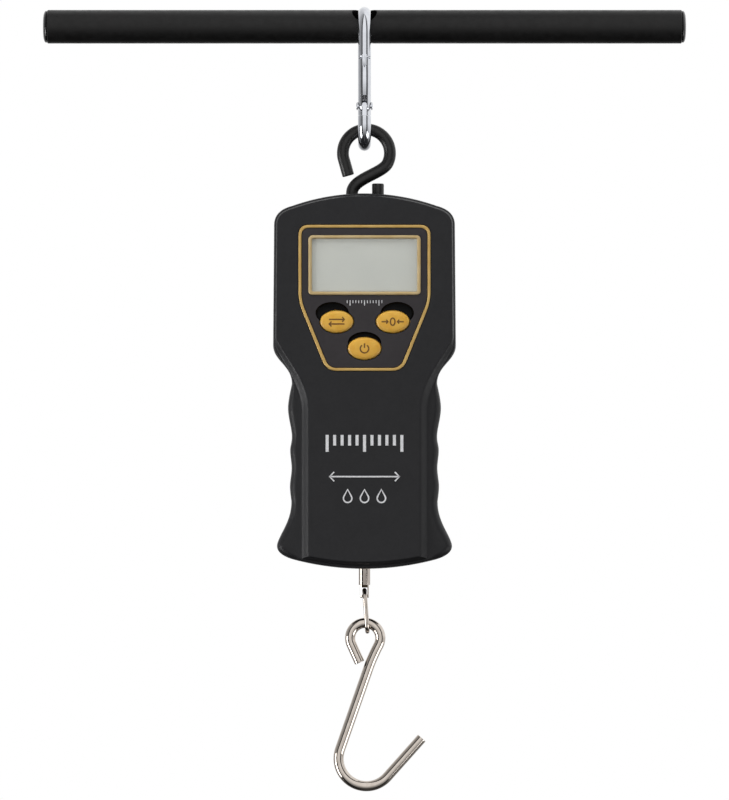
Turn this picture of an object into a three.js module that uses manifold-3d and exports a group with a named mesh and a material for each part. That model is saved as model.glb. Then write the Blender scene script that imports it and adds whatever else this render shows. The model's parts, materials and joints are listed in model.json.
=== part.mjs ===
// Digital hanging fish scale: a T-bar handle, a snap hook, an S-hook, the weighing head and its
// load hook. Millimetres, +Z up. The origin is the middle of the handle bar, the display faces -Y
// and +X is to the right.

import * as THREE from "three";
import { mergeVertices } from "three/addons/utils/BufferGeometryUtils.js";
import Module from "manifold-3d";

const wasm = await Module();
wasm.setup();

// ---------------------------------------------------------------- driving dimensions

const GAP = 0.3; // clearance between neighbouring pieces
const OUTLINE_DIVISIONS = 3; // points on each curve of the case's outline

// Handle bar, along X
const BAR_RADIUS = 7;
const BAR_WALL = 1.5;
const BAR_HALF_LENGTH = 132.5; // the tube without its end plugs
const PLUG_CAP = 1.5;
const PLUG_STEM = 14;
const BAR_HOLE_RADIUS = 5.25;
const BAR_HOLE_TILT = THREE.MathUtils.degToRad(30); // the upper mouth leans to the front

// The plane that the whole chain hangs in
const HANG_Y = -6.7;

// Snap hook, a stadium of wire in the YZ plane
const SNAP_WIRE = 2.85;
const SNAP_BEND = 8;
const SNAP_TOP_CENTRE = -2.8;
const SNAP_BOTTOM_CENTRE = -41.15;
const GATE_TOP = -13.4;
const GATE_WINDOW_TOP = -29.1;
const GATE_PIVOT = -33.8;
const GATE_FORK = 2.4; // width of the slot that the body's tongue stands in
const TONGUE = 1.8;
const TONGUE_REACH = 2.5; // radius of the tongue about the rivet
const RIVET_RADIUS = 1;

// S-hook, wire in the XZ plane
const S_WIRE = 2.5;
const S_LOOP = { x: 0.8, z: -52.9, radius: 9.8 };
const S_ARM_END = { x: -6.7, z: -62.4 };
const S_LEG_LEFT = -5.2;
const S_LEG_RIGHT = 5.6;
const S_STUB_TOP = -65.6;
const S_BEND_Z = -79;

// Weighing head: two shells that part at HANG_Y
const CASE_TOP = -69.9;
const CASE_BOTTOM = -226;
const CASE_WALL = 3;
const CASE_EDGE = 3.5; // rounding of the outer edges
const CASE_FRONT = -11.5; // front of the side grips, measured from the parting plane
const FACE_FRONT = -14; // front of the raised centre panel
const CASE_REAR = 17;
const FACE_RIM = 2.4; // how far the raised panel stands inside the outline
const PANEL_RECESS = 0.9;
const SCREW_BOSS = 3.5;
const SCREW_PILOT = 1.7; // bores that the screws cut their threads in
const SCREW_WAY = 1.8;
const SCREW_SINK = 3;
const GROMMET = { halfWidth: 10.7, halfDepth: 4.5, top: -73.9, bottom: -77.9 };

// Display and buttons
const DISPLAY = { top: -88.8, bottom: -110.8, half: 21.9 };
const BEZEL = 1.4;
const TRIM = {
  top: -83.1,
  half: 27.4,
  waist: -115,
  foot: -143.7,
  footHalf: 15.8,
  width: 1.2,
  corner: 4.4,
};
const BUTTON = { halfWidth: 6.9, halfHeight: 4.6, front: -14.5, wellGap: 0.6 };
const BUTTON_PLACES = [
  { name: "unit", x: -11.5, z: -123.3, scoopX: -1.9, scoopZ: 3.6 },
  { name: "tare", x: 11.7, z: -123.3, scoopX: 1.9, scoopZ: 3.6 },
  { name: "power", x: 0, z: -134.4, scoopX: 0, scoopZ: 2.3 },
];
const SCOOP_DEPTH = 2.2; // finger scoop above each button, from the face

// Load path inside the case
const EYE_Z = -84.7; // middle of the eye that the S-hook's bend passes through
const CELL = { halfWidth: 10, halfDepth: 5.5, top: -92, bottom: -146, screwX: 6.5, screwZ: -97 };
const ROD_RADIUS = 2.4;
const ROD_END = -238.1;
const ROD_FLAT_TOP = -232.8;

// Battery bay in the rear shell
const BAY = { half: 20.6, top: -157.4, bottom: -208.6, wall: 1.3, floor: 4.2 };
const COVER = { half: 23, top: -155, bottom: -211, thickness: 2, screwZ: -204 };
const BATTERY = { radius: 5.2, length: 44.5, x: 13, y: 9.6, z: -182.7 };

// Link and load hook
const LINK_WIRE = 0.95;
const LINK_BEND = 3.9;
const LINK_TOP = -235.05; // middle of the wire at the top and bottom of the link
const LINK_BOTTOM = -252.3;
const LINK_LEAN = THREE.MathUtils.degToRad(4);
const HOOK_WIRE = 2.15;
const HOOK_LOOP = { x: 0.3, z: -254.95, radius: 6.3 };
const HOOK_ARM_END = { x: -2, z: -265.2 };
const HOOK_BEND = { x: 0.8, z: -305.1, radius: 11.6 };
const HOOK_SHANK_LEAN = THREE.MathUtils.degToRad(19.3);
const HOOK_POINT_SLOPE = THREE.MathUtils.degToRad(48.6);
const HOOK_TIP = { x: 23.9, z: -296.6 };

// ---------------------------------------------------------------- materials

function finish(color, roughness, metalness) {
  return new THREE.MeshStandardMaterial({ color, roughness, metalness });
}

const BLACK_PAINT = finish(0x262626, 0.45, 0);
const BLACK_PLASTIC = finish(0x2b2c2c, 0.55, 0);
const PANEL_PLASTIC = finish(0x393939, 0.6, 0);
const GOLD_INK = finish(0xbe9b55, 0.45, 0.3);
const YELLOW_PLASTIC = finish(0xd5aa50, 0.5, 0);
const CLEAR = finish(0xc6c8c2, 0.15, 0);
const LCD_GREY = finish(0xbfc0bb, 0.5, 0);
const ZINC = finish(0xc8cacd, 0.25, 1);
const NICKEL = finish(0xb9b2a8, 0.22, 1);
const DARK_STEEL = finish(0x6b6b6b, 0.4, 1);
const ALUMINIUM = finish(0xb4b7ba, 0.4, 1);
const RUBBER = finish(0x1d1d1d, 0.85, 0);
const BOARD_GREEN = finish(0x1f5a35, 0.6, 0);
const CHIP_BLACK = finish(0x151515, 0.5, 0);
const BATTERY_BLUE = finish(0x2d4f7c, 0.4, 0.2);

// ---------------------------------------------------------------- solids

function toSolid(geometry) {
  const bare = geometry.clone();
  bare.deleteAttribute("normal");
  bare.deleteAttribute("uv");
  const merged = mergeVertices(bare, 1e-4);
  return new wasm.Manifold(
    new wasm.Mesh({
      numProp: 3,
      vertProperties: merged.attributes.position.array,
      triVerts: new Uint32Array(merged.index.array),
    }),
  );
}

function toGeometry(solid) {
  const mesh = solid.getMesh();
  const geometry = new THREE.BufferGeometry();
  geometry.setAttribute("position", new THREE.BufferAttribute(mesh.vertProperties, 3));
  geometry.setIndex(new THREE.BufferAttribute(mesh.triVerts, 1));
  geometry.computeVertexNormals();
  return geometry;
}

function joined(first, ...others) {
  return toGeometry(others.reduce((solid, other) => solid.add(toSolid(other)), toSolid(first)));
}

function cut(body, ...tools) {
  return toGeometry(tools.reduce((solid, tool) => solid.subtract(toSolid(tool)), toSolid(body)));
}

function common(first, second) {
  return toGeometry(toSolid(first).intersect(toSolid(second)));
}

// A box between two corners
function block(x0, x1, y0, y1, z0, z1) {
  const geometry = new THREE.BoxGeometry(x1 - x0, y1 - y0, z1 - z0);
  return geometry.translate((x0 + x1) / 2, (y0 + y1) / 2, (z0 + z1) / 2);
}

// Cylinders along each axis, from one coordinate to another
function alongX(radius, x0, x1, y, z, sides = 16) {
  const geometry = new THREE.CylinderGeometry(radius, radius, x1 - x0, sides);
  return geometry.rotateZ(Math.PI / 2).translate((x0 + x1) / 2, y, z);
}

function alongY(radius, y0, y1, x, z, sides = 14) {
  const geometry = new THREE.CylinderGeometry(radius, radius, y1 - y0, sides);
  return geometry.translate(x, (y0 + y1) / 2, z);
}

function alongZ(radius, z0, z1, x, y, sides = 16) {
  const geometry = new THREE.CylinderGeometry(radius, radius, z1 - z0, sides);
  return geometry.rotateX(Math.PI / 2).translate(x, y, (z0 + z1) / 2);
}

// A turned piece: the profile is [radius, height] pairs, and its axis is turned to +Z
function turned(profile, sides = 16) {
  const points = profile.map(([radius, height]) => new THREE.Vector2(radius, height));
  return new THREE.LatheGeometry(points, sides).rotateX(Math.PI / 2);
}

// A plate whose outline lies in the XZ plane, from its back at y1 forward to y0
function plate(shape, y0, y1) {
  const settings = { depth: y1 - y0, bevelEnabled: false, curveSegments: 4 };
  const geometry = new THREE.ExtrudeGeometry(shape, settings);
  return geometry.rotateX(Math.PI / 2).translate(0, y1, 0);
}

// The same with rounded edges that stay inside the outline
function roundedPlate(shape, y0, y1, edge, segments) {
  const geometry = new THREE.ExtrudeGeometry(shape, {
    depth: y1 - y0 - 2 * edge,
    bevelThickness: edge,
    bevelSize: edge,
    bevelOffset: -edge,
    bevelSegments: segments,
    curveSegments: 6,
  });
  return geometry.rotateX(Math.PI / 2).translate(0, y1 - edge, 0);
}

// Round wire that follows a flat path; place() lifts a point of the path into space
function wire(path, place, radius, steps) {
  const curve = new THREE.CatmullRomCurve3(path.getSpacedPoints(steps).map(place));
  return alongCurve(curve, radius, steps, 5);
}

// A solid round tube along a curve in space, with twice halfSides flat sides
function alongCurve(curve, radius, steps, halfSides) {
  const section = new THREE.Shape().absarc(0, 0, radius, 0, 2 * Math.PI);
  return new THREE.ExtrudeGeometry(section, { steps, extrudePath: curve, curveSegments: halfSides });
}

const inXZ = (point) => new THREE.Vector3(point.x, 0, point.y);
const inYZ = (point) => new THREE.Vector3(0, point.x, point.y);

// A straight run from start to a round loop, which the path then follows clockwise
function loopPath(start, loop, openAngle, leaveAngle) {
  const path = new THREE.Path();
  path.moveTo(start.x, start.z);
  path.lineTo(loop.x + loop.radius * Math.cos(openAngle), loop.z + loop.radius * Math.sin(openAngle));
  path.absarc(loop.x, loop.z, loop.radius, openAngle, leaveAngle, true);
  return path;
}

// ---------------------------------------------------------------- outlines

function ellipse(x, z, halfWidth, halfHeight) {
  return new THREE.Shape().absellipse(x, z, halfWidth, halfHeight, 0, 2 * Math.PI);
}

// A closed outline with every corner rounded by the same radius
function roundedPolygon(corners, radius) {
  const shape = new THREE.Shape();
  corners.forEach((corner, i) => {
    const before = corners[(i + corners.length - 1) % corners.length];
    const after = corners[(i + 1) % corners.length];
    const enter = corner.clone().add(before.clone().sub(corner).setLength(radius));
    const leave = corner.clone().add(after.clone().sub(corner).setLength(radius));
    if (i === 0) shape.moveTo(enter.x, enter.y);
    else shape.lineTo(enter.x, enter.y);
    shape.quadraticCurveTo(corner.x, corner.y, leave.x, leave.y);
  });
  shape.closePath();
  return shape;
}

function roundedRectangle(half, bottom, top, radius) {
  const corners = [
    [-half, bottom],
    [half, bottom],
    [half, top],
    [-half, top],
  ];
  return roundedPolygon(corners.map(([x, z]) => new THREE.Vector2(x, z)), radius);
}

// The half outline on the right, from the top centre to the bottom centre, closed by its mirror image
function mirrored(rightHalf, inset = 0) {
  const isNew = (point, i, all) => i === 0 || point.distanceTo(all[i - 1]) > 0.01;
  const points = rightHalf.getPoints(OUTLINE_DIVISIONS).filter(isNew);
  const outline = [...points, ...points.slice(1, -1).reverse().map((p) => new THREE.Vector2(-p.x, p.y))];
  const moved = outline.map((point, i) => {
    const before = outline[(i + outline.length - 1) % outline.length];
    const after = outline[(i + 1) % outline.length];
    const along = after.clone().sub(before).normalize();
    return new THREE.Vector2(point.x + along.y * inset, point.y - along.x * inset);
  });
  return new THREE.Shape(moved);
}

// Right half of the case: crown, straight head, shoulder, three finger swells and the flared foot
function caseHalf() {
  const crownRadius = 90;
  const crownEnd = Math.asin(30 / crownRadius);
  const footRadius = 115;
  const footHalf = 29;
  const footEnd = Math.asin(footHalf / footRadius);
  const footRise = footRadius * (1 - Math.cos(footEnd));
  const half = new THREE.Path();
  half.absarc(0, CASE_TOP - crownRadius, crownRadius, Math.PI / 2, Math.PI / 2 - crownEnd, true);
  half.quadraticCurveTo(37.6, -77, 37.6, -83);
  half.lineTo(38, -133);
  half.bezierCurveTo(38, -139.5, 30.2, -141.5, 30.2, -149);
  half.splineThru(
    [
      [31.8, -159.2],
      [30.2, -170.4],
      [30.9, -176.7],
      [30.3, -184.2],
      [31, -191.7],
      [30.4, -198],
    ].map(([x, z]) => new THREE.Vector2(x, z)),
  );
  half.bezierCurveTo(30.4, -206, 34.7, -210.5, 36.2, -215.3);
  half.bezierCurveTo(37.2, -218.6, 34.2, -220.9, footHalf, CASE_BOTTOM + footRise);
  half.absarc(0, CASE_BOTTOM + footRadius, footRadius, -Math.PI / 2 + footEnd, -Math.PI / 2, true);
  return half;
}

// Right half of the raised centre panel: as wide as the head, narrow between the finger grips
function faceHalf() {
  const half = new THREE.Path();
  half.moveTo(0, CASE_TOP - FACE_RIM);
  half.quadraticCurveTo(15.5, CASE_TOP - FACE_RIM - 0.2, 29.5, -76.6);
  half.quadraticCurveTo(35.4, -79, 35.4, -85);
  half.lineTo(35.6, -133);
  half.bezierCurveTo(35.2, -141, 25, -146, 24.8, -158);
  half.lineTo(24.8, -214);
  half.quadraticCurveTo(24.8, -221, 18, -222);
  half.quadraticCurveTo(9, CASE_BOTTOM + FACE_RIM, 0, CASE_BOTTOM + FACE_RIM);
  return half;
}

// The six-sided outline of the label; grow widens it evenly
function labelOutline(grow, radius) {
  const corners = [
    [-TRIM.footHalf - 0.8 * grow, TRIM.foot - grow],
    [TRIM.footHalf + 0.8 * grow, TRIM.foot - grow],
    [TRIM.half + grow, TRIM.waist - 0.2 * grow],
    [TRIM.half + grow, TRIM.top + grow],
    [-TRIM.half - grow, TRIM.top + grow],
    [-TRIM.half - grow, TRIM.waist - 0.2 * grow],
  ];
  return roundedPolygon(corners.map(([x, z]) => new THREE.Vector2(x, z)), radius);
}

// ---------------------------------------------------------------- handle

function handleTube() {
  const inner = BAR_RADIUS - BAR_WALL;
  const profile = [
    [inner, -BAR_HALF_LENGTH],
    [BAR_RADIUS, -BAR_HALF_LENGTH],
    [BAR_RADIUS, BAR_HALF_LENGTH],
    [inner, BAR_HALF_LENGTH],
    [inner, -BAR_HALF_LENGTH],
  ];
  const tube = turned(profile, 32).rotateY(Math.PI / 2);
  const drill = alongZ(BAR_HOLE_RADIUS, -12, 12, 0, 0, 28).rotateX(BAR_HOLE_TILT);
  return cut(tube, drill);
}

// One end plug: a stem inside the tube and a low dome that covers its end
function handlePlug(side) {
  const stem = BAR_RADIUS - BAR_WALL - GAP;
  const start = BAR_HALF_LENGTH + GAP / 2;
  const profile = [
    [0, start - PLUG_STEM],
    [stem, start - PLUG_STEM],
    [stem, start],
    [BAR_RADIUS - 0.2, start],
    [BAR_RADIUS - 0.5, start + 0.6 * PLUG_CAP],
    [0.6 * BAR_RADIUS, start + 0.95 * PLUG_CAP],
    [0, start + PLUG_CAP],
  ];
  return turned(profile, 24).rotateY((side * Math.PI) / 2);
}

// ---------------------------------------------------------------- snap hook

// The bent wire, with a tongue at the nose and one for the gate's fork
function snapBody() {
  const path = new THREE.Path();
  path.moveTo(-SNAP_BEND, GATE_TOP + GAP / 2);
  path.lineTo(-SNAP_BEND, SNAP_TOP_CENTRE);
  path.absarc(0, SNAP_TOP_CENTRE, SNAP_BEND, Math.PI, 0, true);
  path.absarc(0, SNAP_BOTTOM_CENTRE, SNAP_BEND, 0, -Math.PI, true);
  path.lineTo(-SNAP_BEND, GATE_PIVOT - SNAP_WIRE - 1);
  const bent = wire(path, inYZ, SNAP_WIRE, 44);
  const half = TONGUE / 2;
  const nose = block(-half, half, -SNAP_BEND - 2, -SNAP_BEND + 2, GATE_TOP - 3.2, GATE_TOP + 1.5);
  const stand = block(
    -half,
    half,
    -SNAP_BEND - TONGUE_REACH,
    -SNAP_BEND + TONGUE_REACH,
    GATE_PIVOT - SNAP_WIRE - 2,
    GATE_PIVOT,
  );
  const roundTop = alongX(TONGUE_REACH, -half, half, -SNAP_BEND, GATE_PIVOT, 24);
  const rivetHole = alongX(RIVET_RADIUS + GAP, -3, 3, -SNAP_BEND, GATE_PIVOT);
  return cut(joined(bent, nose, stand, roundTop), rivetHole);
}

// The gate: a round bar with a round foot, forked at both ends and bored for its plunger
function snapGate() {
  const profile = [];
  for (let step = 0; step <= 6; step++) {
    const angle = (step / 6) * (Math.PI / 2);
    profile.push([SNAP_WIRE * Math.sin(angle), GATE_PIVOT - SNAP_WIRE * Math.cos(angle)]);
  }
  profile.push([SNAP_WIRE, GATE_TOP - GAP / 2], [0, GATE_TOP - GAP / 2]);
  const bar = turned(profile, 24).translate(0, -SNAP_BEND, 0);
  const half = GATE_FORK / 2;
  const front = -SNAP_BEND - 4;
  const back = -SNAP_BEND + 4;
  const fork = block(-half, half, front, back, GATE_PIVOT - 4, GATE_WINDOW_TOP);
  const mouth = block(-half, half, front, back, GATE_TOP - 4, GATE_TOP + 1);
  const bore = alongZ(1.15, GATE_WINDOW_TOP - 1, GATE_WINDOW_TOP + 8, 0, -SNAP_BEND, 14);
  const rivetHole = alongX(RIVET_RADIUS + GAP, -4, 4, -SNAP_BEND, GATE_PIVOT);
  return cut(bar, fork, mouth, bore, rivetHole);
}

// The sprung plunger in the gate, which bears on the round top of the tongue
function gatePlunger() {
  const foot = GATE_PIVOT + TONGUE_REACH + GAP;
  return alongZ(0.8, foot, GATE_WINDOW_TOP + 7, 0, -SNAP_BEND, 12);
}

function gateRivet() {
  const head = SNAP_WIRE + 0.15;
  const profile = [
    [0, -head - 0.6],
    [1, -head - 0.55],
    [1.6, -head],
    [RIVET_RADIUS, -head],
    [RIVET_RADIUS, head],
    [1.6, head],
    [1, head + 0.55],
    [0, head + 0.6],
  ];
  return turned(profile, 16).rotateY(Math.PI / 2).translate(0, -SNAP_BEND, GATE_PIVOT);
}

// ---------------------------------------------------------------- S-hook

// From the cut end round the open loop, down into the case, round the hidden bend and up to the stub
function sHook() {
  const bendX = (S_LEG_LEFT + S_LEG_RIGHT) / 2;
  const bendRadius = (S_LEG_RIGHT - S_LEG_LEFT) / 2;
  const openAngle = THREE.MathUtils.degToRad(193);
  const leaveAngle = THREE.MathUtils.degToRad(-25);
  const leaveX = S_LOOP.x + S_LOOP.radius * Math.cos(leaveAngle);
  const leaveZ = S_LOOP.z + S_LOOP.radius * Math.sin(leaveAngle);
  const path = loopPath(S_ARM_END, S_LOOP, openAngle, leaveAngle);
  path.bezierCurveTo(leaveX - 2.1, leaveZ - 4.5, S_LEG_LEFT, -63.5, S_LEG_LEFT, -69.5);
  path.absarc(bendX, S_BEND_Z, bendRadius, Math.PI, 2 * Math.PI, false);
  path.lineTo(S_LEG_RIGHT, S_STUB_TOP);
  return wire(path, inXZ, S_WIRE, 46);
}

// ---------------------------------------------------------------- case

// Cutters for the buttons: the well goes right through, the scoop above it does not
function buttonWells(grow) {
  return BUTTON_PLACES.map(({ x, z }) =>
    plate(ellipse(x, z, BUTTON.halfWidth + grow, BUTTON.halfHeight + grow), FACE_FRONT - 1, -8),
  );
}

function buttonScoops(grow) {
  return BUTTON_PLACES.map(({ x, z, scoopX, scoopZ }) =>
    plate(
      ellipse(x + scoopX, z + scoopZ, BUTTON.halfWidth + grow, BUTTON.halfHeight + grow),
      FACE_FRONT - 1,
      FACE_FRONT + SCOOP_DEPTH,
    ),
  );
}

const SCREW_PLACES = [
  [31, -82],
  [24, -150],
  [29.5, -214.5],
].flatMap(([x, z]) => [
  [-x, z],
  [x, z],
]);

// A cylinder along Y at each of the two screws that hold the load cell
function atCellScrews(radius, y0, y1) {
  return [-CELL.screwX, CELL.screwX].map((x) => alongY(radius, y0, y1, x, CELL.screwZ));
}

// Both shells as one block, before it is hollowed and parted
function caseBlock() {
  const body = roundedPlate(mirrored(caseHalf()), CASE_FRONT, CASE_REAR, CASE_EDGE, 2);
  const face = roundedPlate(mirrored(faceHalf()), FACE_FRONT, 0, 1.3, 2);
  return joined(body, face);
}

function caseHollow() {
  const inner = mirrored(caseHalf(), CASE_WALL);
  const main = plate(inner, CASE_FRONT + CASE_WALL - 0.5, CASE_REAR - CASE_WALL);
  const behindFace = plate(mirrored(faceHalf(), CASE_WALL - 0.5), FACE_FRONT + CASE_WALL, -6);
  return joined(main, behindFace);
}

// Holes in the crown for the S-hook's two legs, and in the foot for the rod and its bush
function caseMouths() {
  return [
    alongZ(S_WIRE + 0.4, CASE_TOP - 7, CASE_TOP + 2, S_LEG_LEFT, 0, 20),
    alongZ(S_WIRE + 0.4, CASE_TOP - 7, CASE_TOP + 2, S_LEG_RIGHT, 0, 20),
    alongZ(5.3, CASE_BOTTOM - 2, CASE_BOTTOM + 6, 0, 0, 24),
  ];
}

function frontCase() {
  const shell = cut(common(caseBlock(), block(-60, 60, -30, -GAP / 2, -240, -50)), caseHollow());
  const bosses = SCREW_PLACES.map(([x, z]) => alongY(SCREW_BOSS, CASE_FRONT + 2, -GAP / 2, x, z));
  const pilots = SCREW_PLACES.map(([x, z]) => alongY(SCREW_PILOT, CASE_FRONT + 3.5, 1, x, z, 12));
  const recess = plate(labelOutline(GAP, TRIM.corner + 0.1), FACE_FRONT - 1, FACE_FRONT + PANEL_RECESS);
  const displayHole = block(-21.4, 21.4, FACE_FRONT - 1, -8, DISPLAY.bottom + 0.5, DISPLAY.top - 0.5);
  const buttonCuts = [...buttonWells(BUTTON.wellGap), ...buttonScoops(0)];
  return cut(joined(shell, ...bosses), ...pilots, recess, displayHole, ...buttonCuts, ...caseMouths());
}

// The rear shell carries the battery bay, the screw columns and the groove for the seals
function rearCase() {
  const shell = cut(common(caseBlock(), block(-60, 60, GAP / 2, 30, -240, -50)), caseHollow());
  const columns = SCREW_PLACES.map(([x, z]) => alongY(SCREW_BOSS, GAP / 2, CASE_REAR - 2, x, z));
  const cellPosts = atCellScrews(3.2, CELL.halfDepth + GAP, CASE_REAR - 2);
  const bayOuter = block(
    -BAY.half - BAY.wall,
    BAY.half + BAY.wall,
    BAY.floor - BAY.wall,
    CASE_REAR - 2.5,
    BAY.bottom - BAY.wall,
    BAY.top + BAY.wall,
  );
  const bayInner = block(-BAY.half, BAY.half, BAY.floor, CASE_REAR + 1, BAY.bottom, BAY.top);
  const coverPost = alongY(3.2, BAY.floor - 0.5, CASE_REAR - COVER.thickness - GAP, 0, COVER.screwZ);
  const coverSeat = plate(
    roundedRectangle(COVER.half + GAP, COVER.bottom - GAP, COVER.top + GAP, 3.3),
    CASE_REAR - COVER.thickness - 0.1,
    CASE_REAR + 1,
  );
  const coverPilot = alongY(SCREW_PILOT, BAY.floor + 1.3, CASE_REAR, 0, COVER.screwZ, 12);
  const screwWays = SCREW_PLACES.map(([x, z]) => alongY(SCREW_WAY, -1, CASE_REAR, x, z, 12));
  const sinkFloor = CASE_REAR - 8;
  const screwSinks = SCREW_PLACES.map(([x, z]) => alongY(SCREW_SINK, sinkFloor, CASE_REAR + 1, x, z));
  const cellPilots = atCellScrews(SCREW_PILOT, 0, CASE_REAR - 5);
  const groove = cut(
    plate(mirrored(caseHalf(), 0.8), -1, 1.6),
    plate(mirrored(caseHalf(), CASE_WALL - 0.8), -2, 3),
  );
  const hollowBay = cut(joined(shell, ...columns, ...cellPosts, bayOuter), bayInner, coverSeat);
  const withPost = joined(hollowBay, coverPost);
  return cut(withPost, coverPilot, ...screwWays, ...screwSinks, ...cellPilots, groove, ...caseMouths());
}

// One half of the case seal; it stops short of the hook's legs above and the rod below
function caseSeal(side) {
  const ring = cut(
    plate(mirrored(caseHalf(), 1), GAP / 2 - 0.2, 1.4),
    plate(mirrored(caseHalf(), CASE_WALL - 1), -2, 3),
  );
  const keep = side < 0 ? block(-60, -9, -5, 5, -240, -50) : block(9, 60, -5, 5, -240, -50);
  return common(ring, keep);
}

function caseScrew(x, z) {
  const profile = [
    [0, -8],
    [1.4, -7],
    [1.4, 9.3],
    [2.7, 9.3],
    [2.7, 11],
    [0, 11.4],
  ];
  return turned(profile, 14).rotateX(-Math.PI / 2).translate(x, 0, z);
}

// Rubber block under the crown that the S-hook's legs pass through
function hookGrommet() {
  const { halfWidth, halfDepth, top, bottom } = GROMMET;
  const middle = (S_LEG_LEFT + S_LEG_RIGHT) / 2;
  const body = block(middle - halfWidth, middle + halfWidth, -halfDepth, halfDepth, bottom, top);
  const ways = [S_LEG_LEFT, S_LEG_RIGHT].map((x) => alongZ(S_WIRE + GAP, bottom - 1, top + 1, x, 0));
  return cut(body, ...ways);
}

// ---------------------------------------------------------------- face, display and buttons

function facePanel() {
  const around = BEZEL + 0.1;
  const back = FACE_FRONT + PANEL_RECESS - 0.1;
  const sheet = plate(labelOutline(-TRIM.width - GAP / 2, TRIM.corner - 1), FACE_FRONT + 0.1, back);
  const frame = plate(
    roundedRectangle(DISPLAY.half + around, DISPLAY.bottom - around, DISPLAY.top + around, 2),
    FACE_FRONT - 2,
    FACE_FRONT + 2,
  );
  return cut(sheet, frame, ...buttonWells(BUTTON.wellGap + 0.2), ...buttonScoops(0.2));
}

function faceTrim() {
  const outer = plate(labelOutline(0, TRIM.corner), FACE_FRONT - 0.3, FACE_FRONT + PANEL_RECESS - 0.1);
  const inner = plate(labelOutline(-TRIM.width, TRIM.corner - 1), FACE_FRONT - 2, FACE_FRONT + 2);
  return cut(outer, inner);
}

function displayBezel() {
  const outer = plate(
    roundedRectangle(DISPLAY.half + BEZEL, DISPLAY.bottom - BEZEL, DISPLAY.top + BEZEL, 2),
    FACE_FRONT - 0.6,
    FACE_FRONT + PANEL_RECESS - 0.1,
  );
  const opening = plate(
    roundedRectangle(DISPLAY.half, DISPLAY.bottom, DISPLAY.top, 0.9),
    FACE_FRONT - 2,
    FACE_FRONT + 2,
  );
  return cut(outer, opening);
}

function displayWindow() {
  return plate(
    roundedRectangle(DISPLAY.half - GAP, DISPLAY.bottom + GAP, DISPLAY.top - GAP, 0.6),
    FACE_FRONT - 0.1,
    FACE_FRONT + PANEL_RECESS - 0.1,
  );
}

function lcdModule() {
  const glass = block(-21.1, 21.1, -12.5, -11, DISPLAY.bottom + 1, DISPLAY.top - 1);
  const backing = block(-22.5, 22.5, -10.9, -8.3, DISPLAY.bottom - 1, DISPLAY.top + 1);
  const bridge = block(-20, 20, -11.2, -10.5, DISPLAY.bottom + 1.5, DISPLAY.top - 1.5);
  return joined(glass, bridge, backing);
}

// An oval key with a domed face and a flange behind the case wall that keeps it in
function buttonKey({ x, z }) {
  const outline = ellipse(x, z, BUTTON.halfWidth, BUTTON.halfHeight);
  const cap = roundedPlate(outline, BUTTON.front, -9.5, 0.9, 2);
  const flange = plate(ellipse(x, z, BUTTON.halfWidth + 1, BUTTON.halfHeight + 0.9), -10.6, -9.9);
  return joined(cap, flange);
}

function tactileSwitch({ x, z }) {
  const base = block(x - 3, x + 3, -8.5, -7.75, z - 3, z + 3);
  const stem = alongY(1.6, -8.6, -8.2, x, z, 14);
  return joined(base, stem);
}

function circuitBoard() {
  return block(-24, 24, -7.6, -6.2, -142, -86);
}

function controllerChip() {
  return block(-4, 4, -8.8, -7.7, -122, -114.5);
}

// ---------------------------------------------------------------- load path

function hookEye() {
  const disc = alongX(5.9, -1.9, 1.9, 0, EYE_Z, 28);
  const stud = alongZ(2.7, -100, EYE_Z - 5, 0, 0);
  const way = alongX(3.7, -4, 4, 0, EYE_Z, 20);
  return cut(joined(disc, stud), way);
}

// An S-beam of aluminium: two slots from opposite sides and a window between them
function loadCell() {
  const { halfWidth, halfDepth, top, bottom } = CELL;
  const body = block(-halfWidth, halfWidth, -halfDepth, halfDepth, bottom, top);
  const through = halfDepth + 1;
  const upperSlot = block(-halfWidth - 1, 6, -through, through, -108, -106.2);
  const lowerSlot = block(-6, halfWidth + 1, -through, through, -131.8, -130);
  const window = block(-6, 6, -through, through, -127, -111);
  const eyeThread = alongZ(3, -101, top + 1, 0, 0);
  const rodThread = alongZ(ROD_RADIUS + GAP, bottom - 1, -136, 0, 0);
  const screwWays = atCellScrews(SCREW_WAY, -through, through);
  const screwSinks = atCellScrews(SCREW_SINK, -through, -2.8);
  return cut(body, upperSlot, lowerSlot, window, eyeThread, rodThread, ...screwWays, ...screwSinks);
}

function cellScrew(x) {
  const profile = [
    [0, -5.2],
    [2.6, -5],
    [2.6, -3.1],
    [1.35, -3.1],
    [1.35, 10.5],
    [0, 11.3],
  ];
  return turned(profile, 14).rotateX(-Math.PI / 2).translate(x, 0, CELL.screwZ);
}

function strainGauge(side) {
  const x = side * 5.5;
  return block(x - 0.2, x + 0.2, -3, 3, -123, -115);
}

// Lead from the load cell's window to the back of the circuit board
function cellLead() {
  const points = [
    [0, -5.2, -117],
    [0, -5.6, -112.5],
    [4, -5.85, -110],
    [11, -5.85, -108.5],
    [15, -5.8, -105],
  ];
  const curve = new THREE.CatmullRomCurve3(points.map(([x, y, z]) => new THREE.Vector3(x, y, z)));
  return alongCurve(curve, 0.25, 12, 3);
}

// The rod: round through the case, flattened on all sides at its lower end and slotted front to back
function pullRod() {
  const rod = alongZ(ROD_RADIUS, ROD_END, -136.3, 0, 0, 24);
  const far = 6;
  const low = ROD_END - 1;
  return cut(
    rod,
    block(1.8, far, -far, far, low, ROD_FLAT_TOP),
    block(-far, -1.8, -far, far, low, ROD_FLAT_TOP),
    block(-far, far, 2, far, low, ROD_FLAT_TOP),
    block(-far, far, -far, -2, low, ROD_FLAT_TOP),
    block(-1.3, 1.3, -far, far, -237, -233.6),
  );
}

function rodNut() {
  const hexagon = alongZ(4.6, -150.6, -146.4, 0, 0, 6);
  return cut(hexagon, alongZ(ROD_RADIUS + GAP, -152, -145, 0, 0));
}

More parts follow.
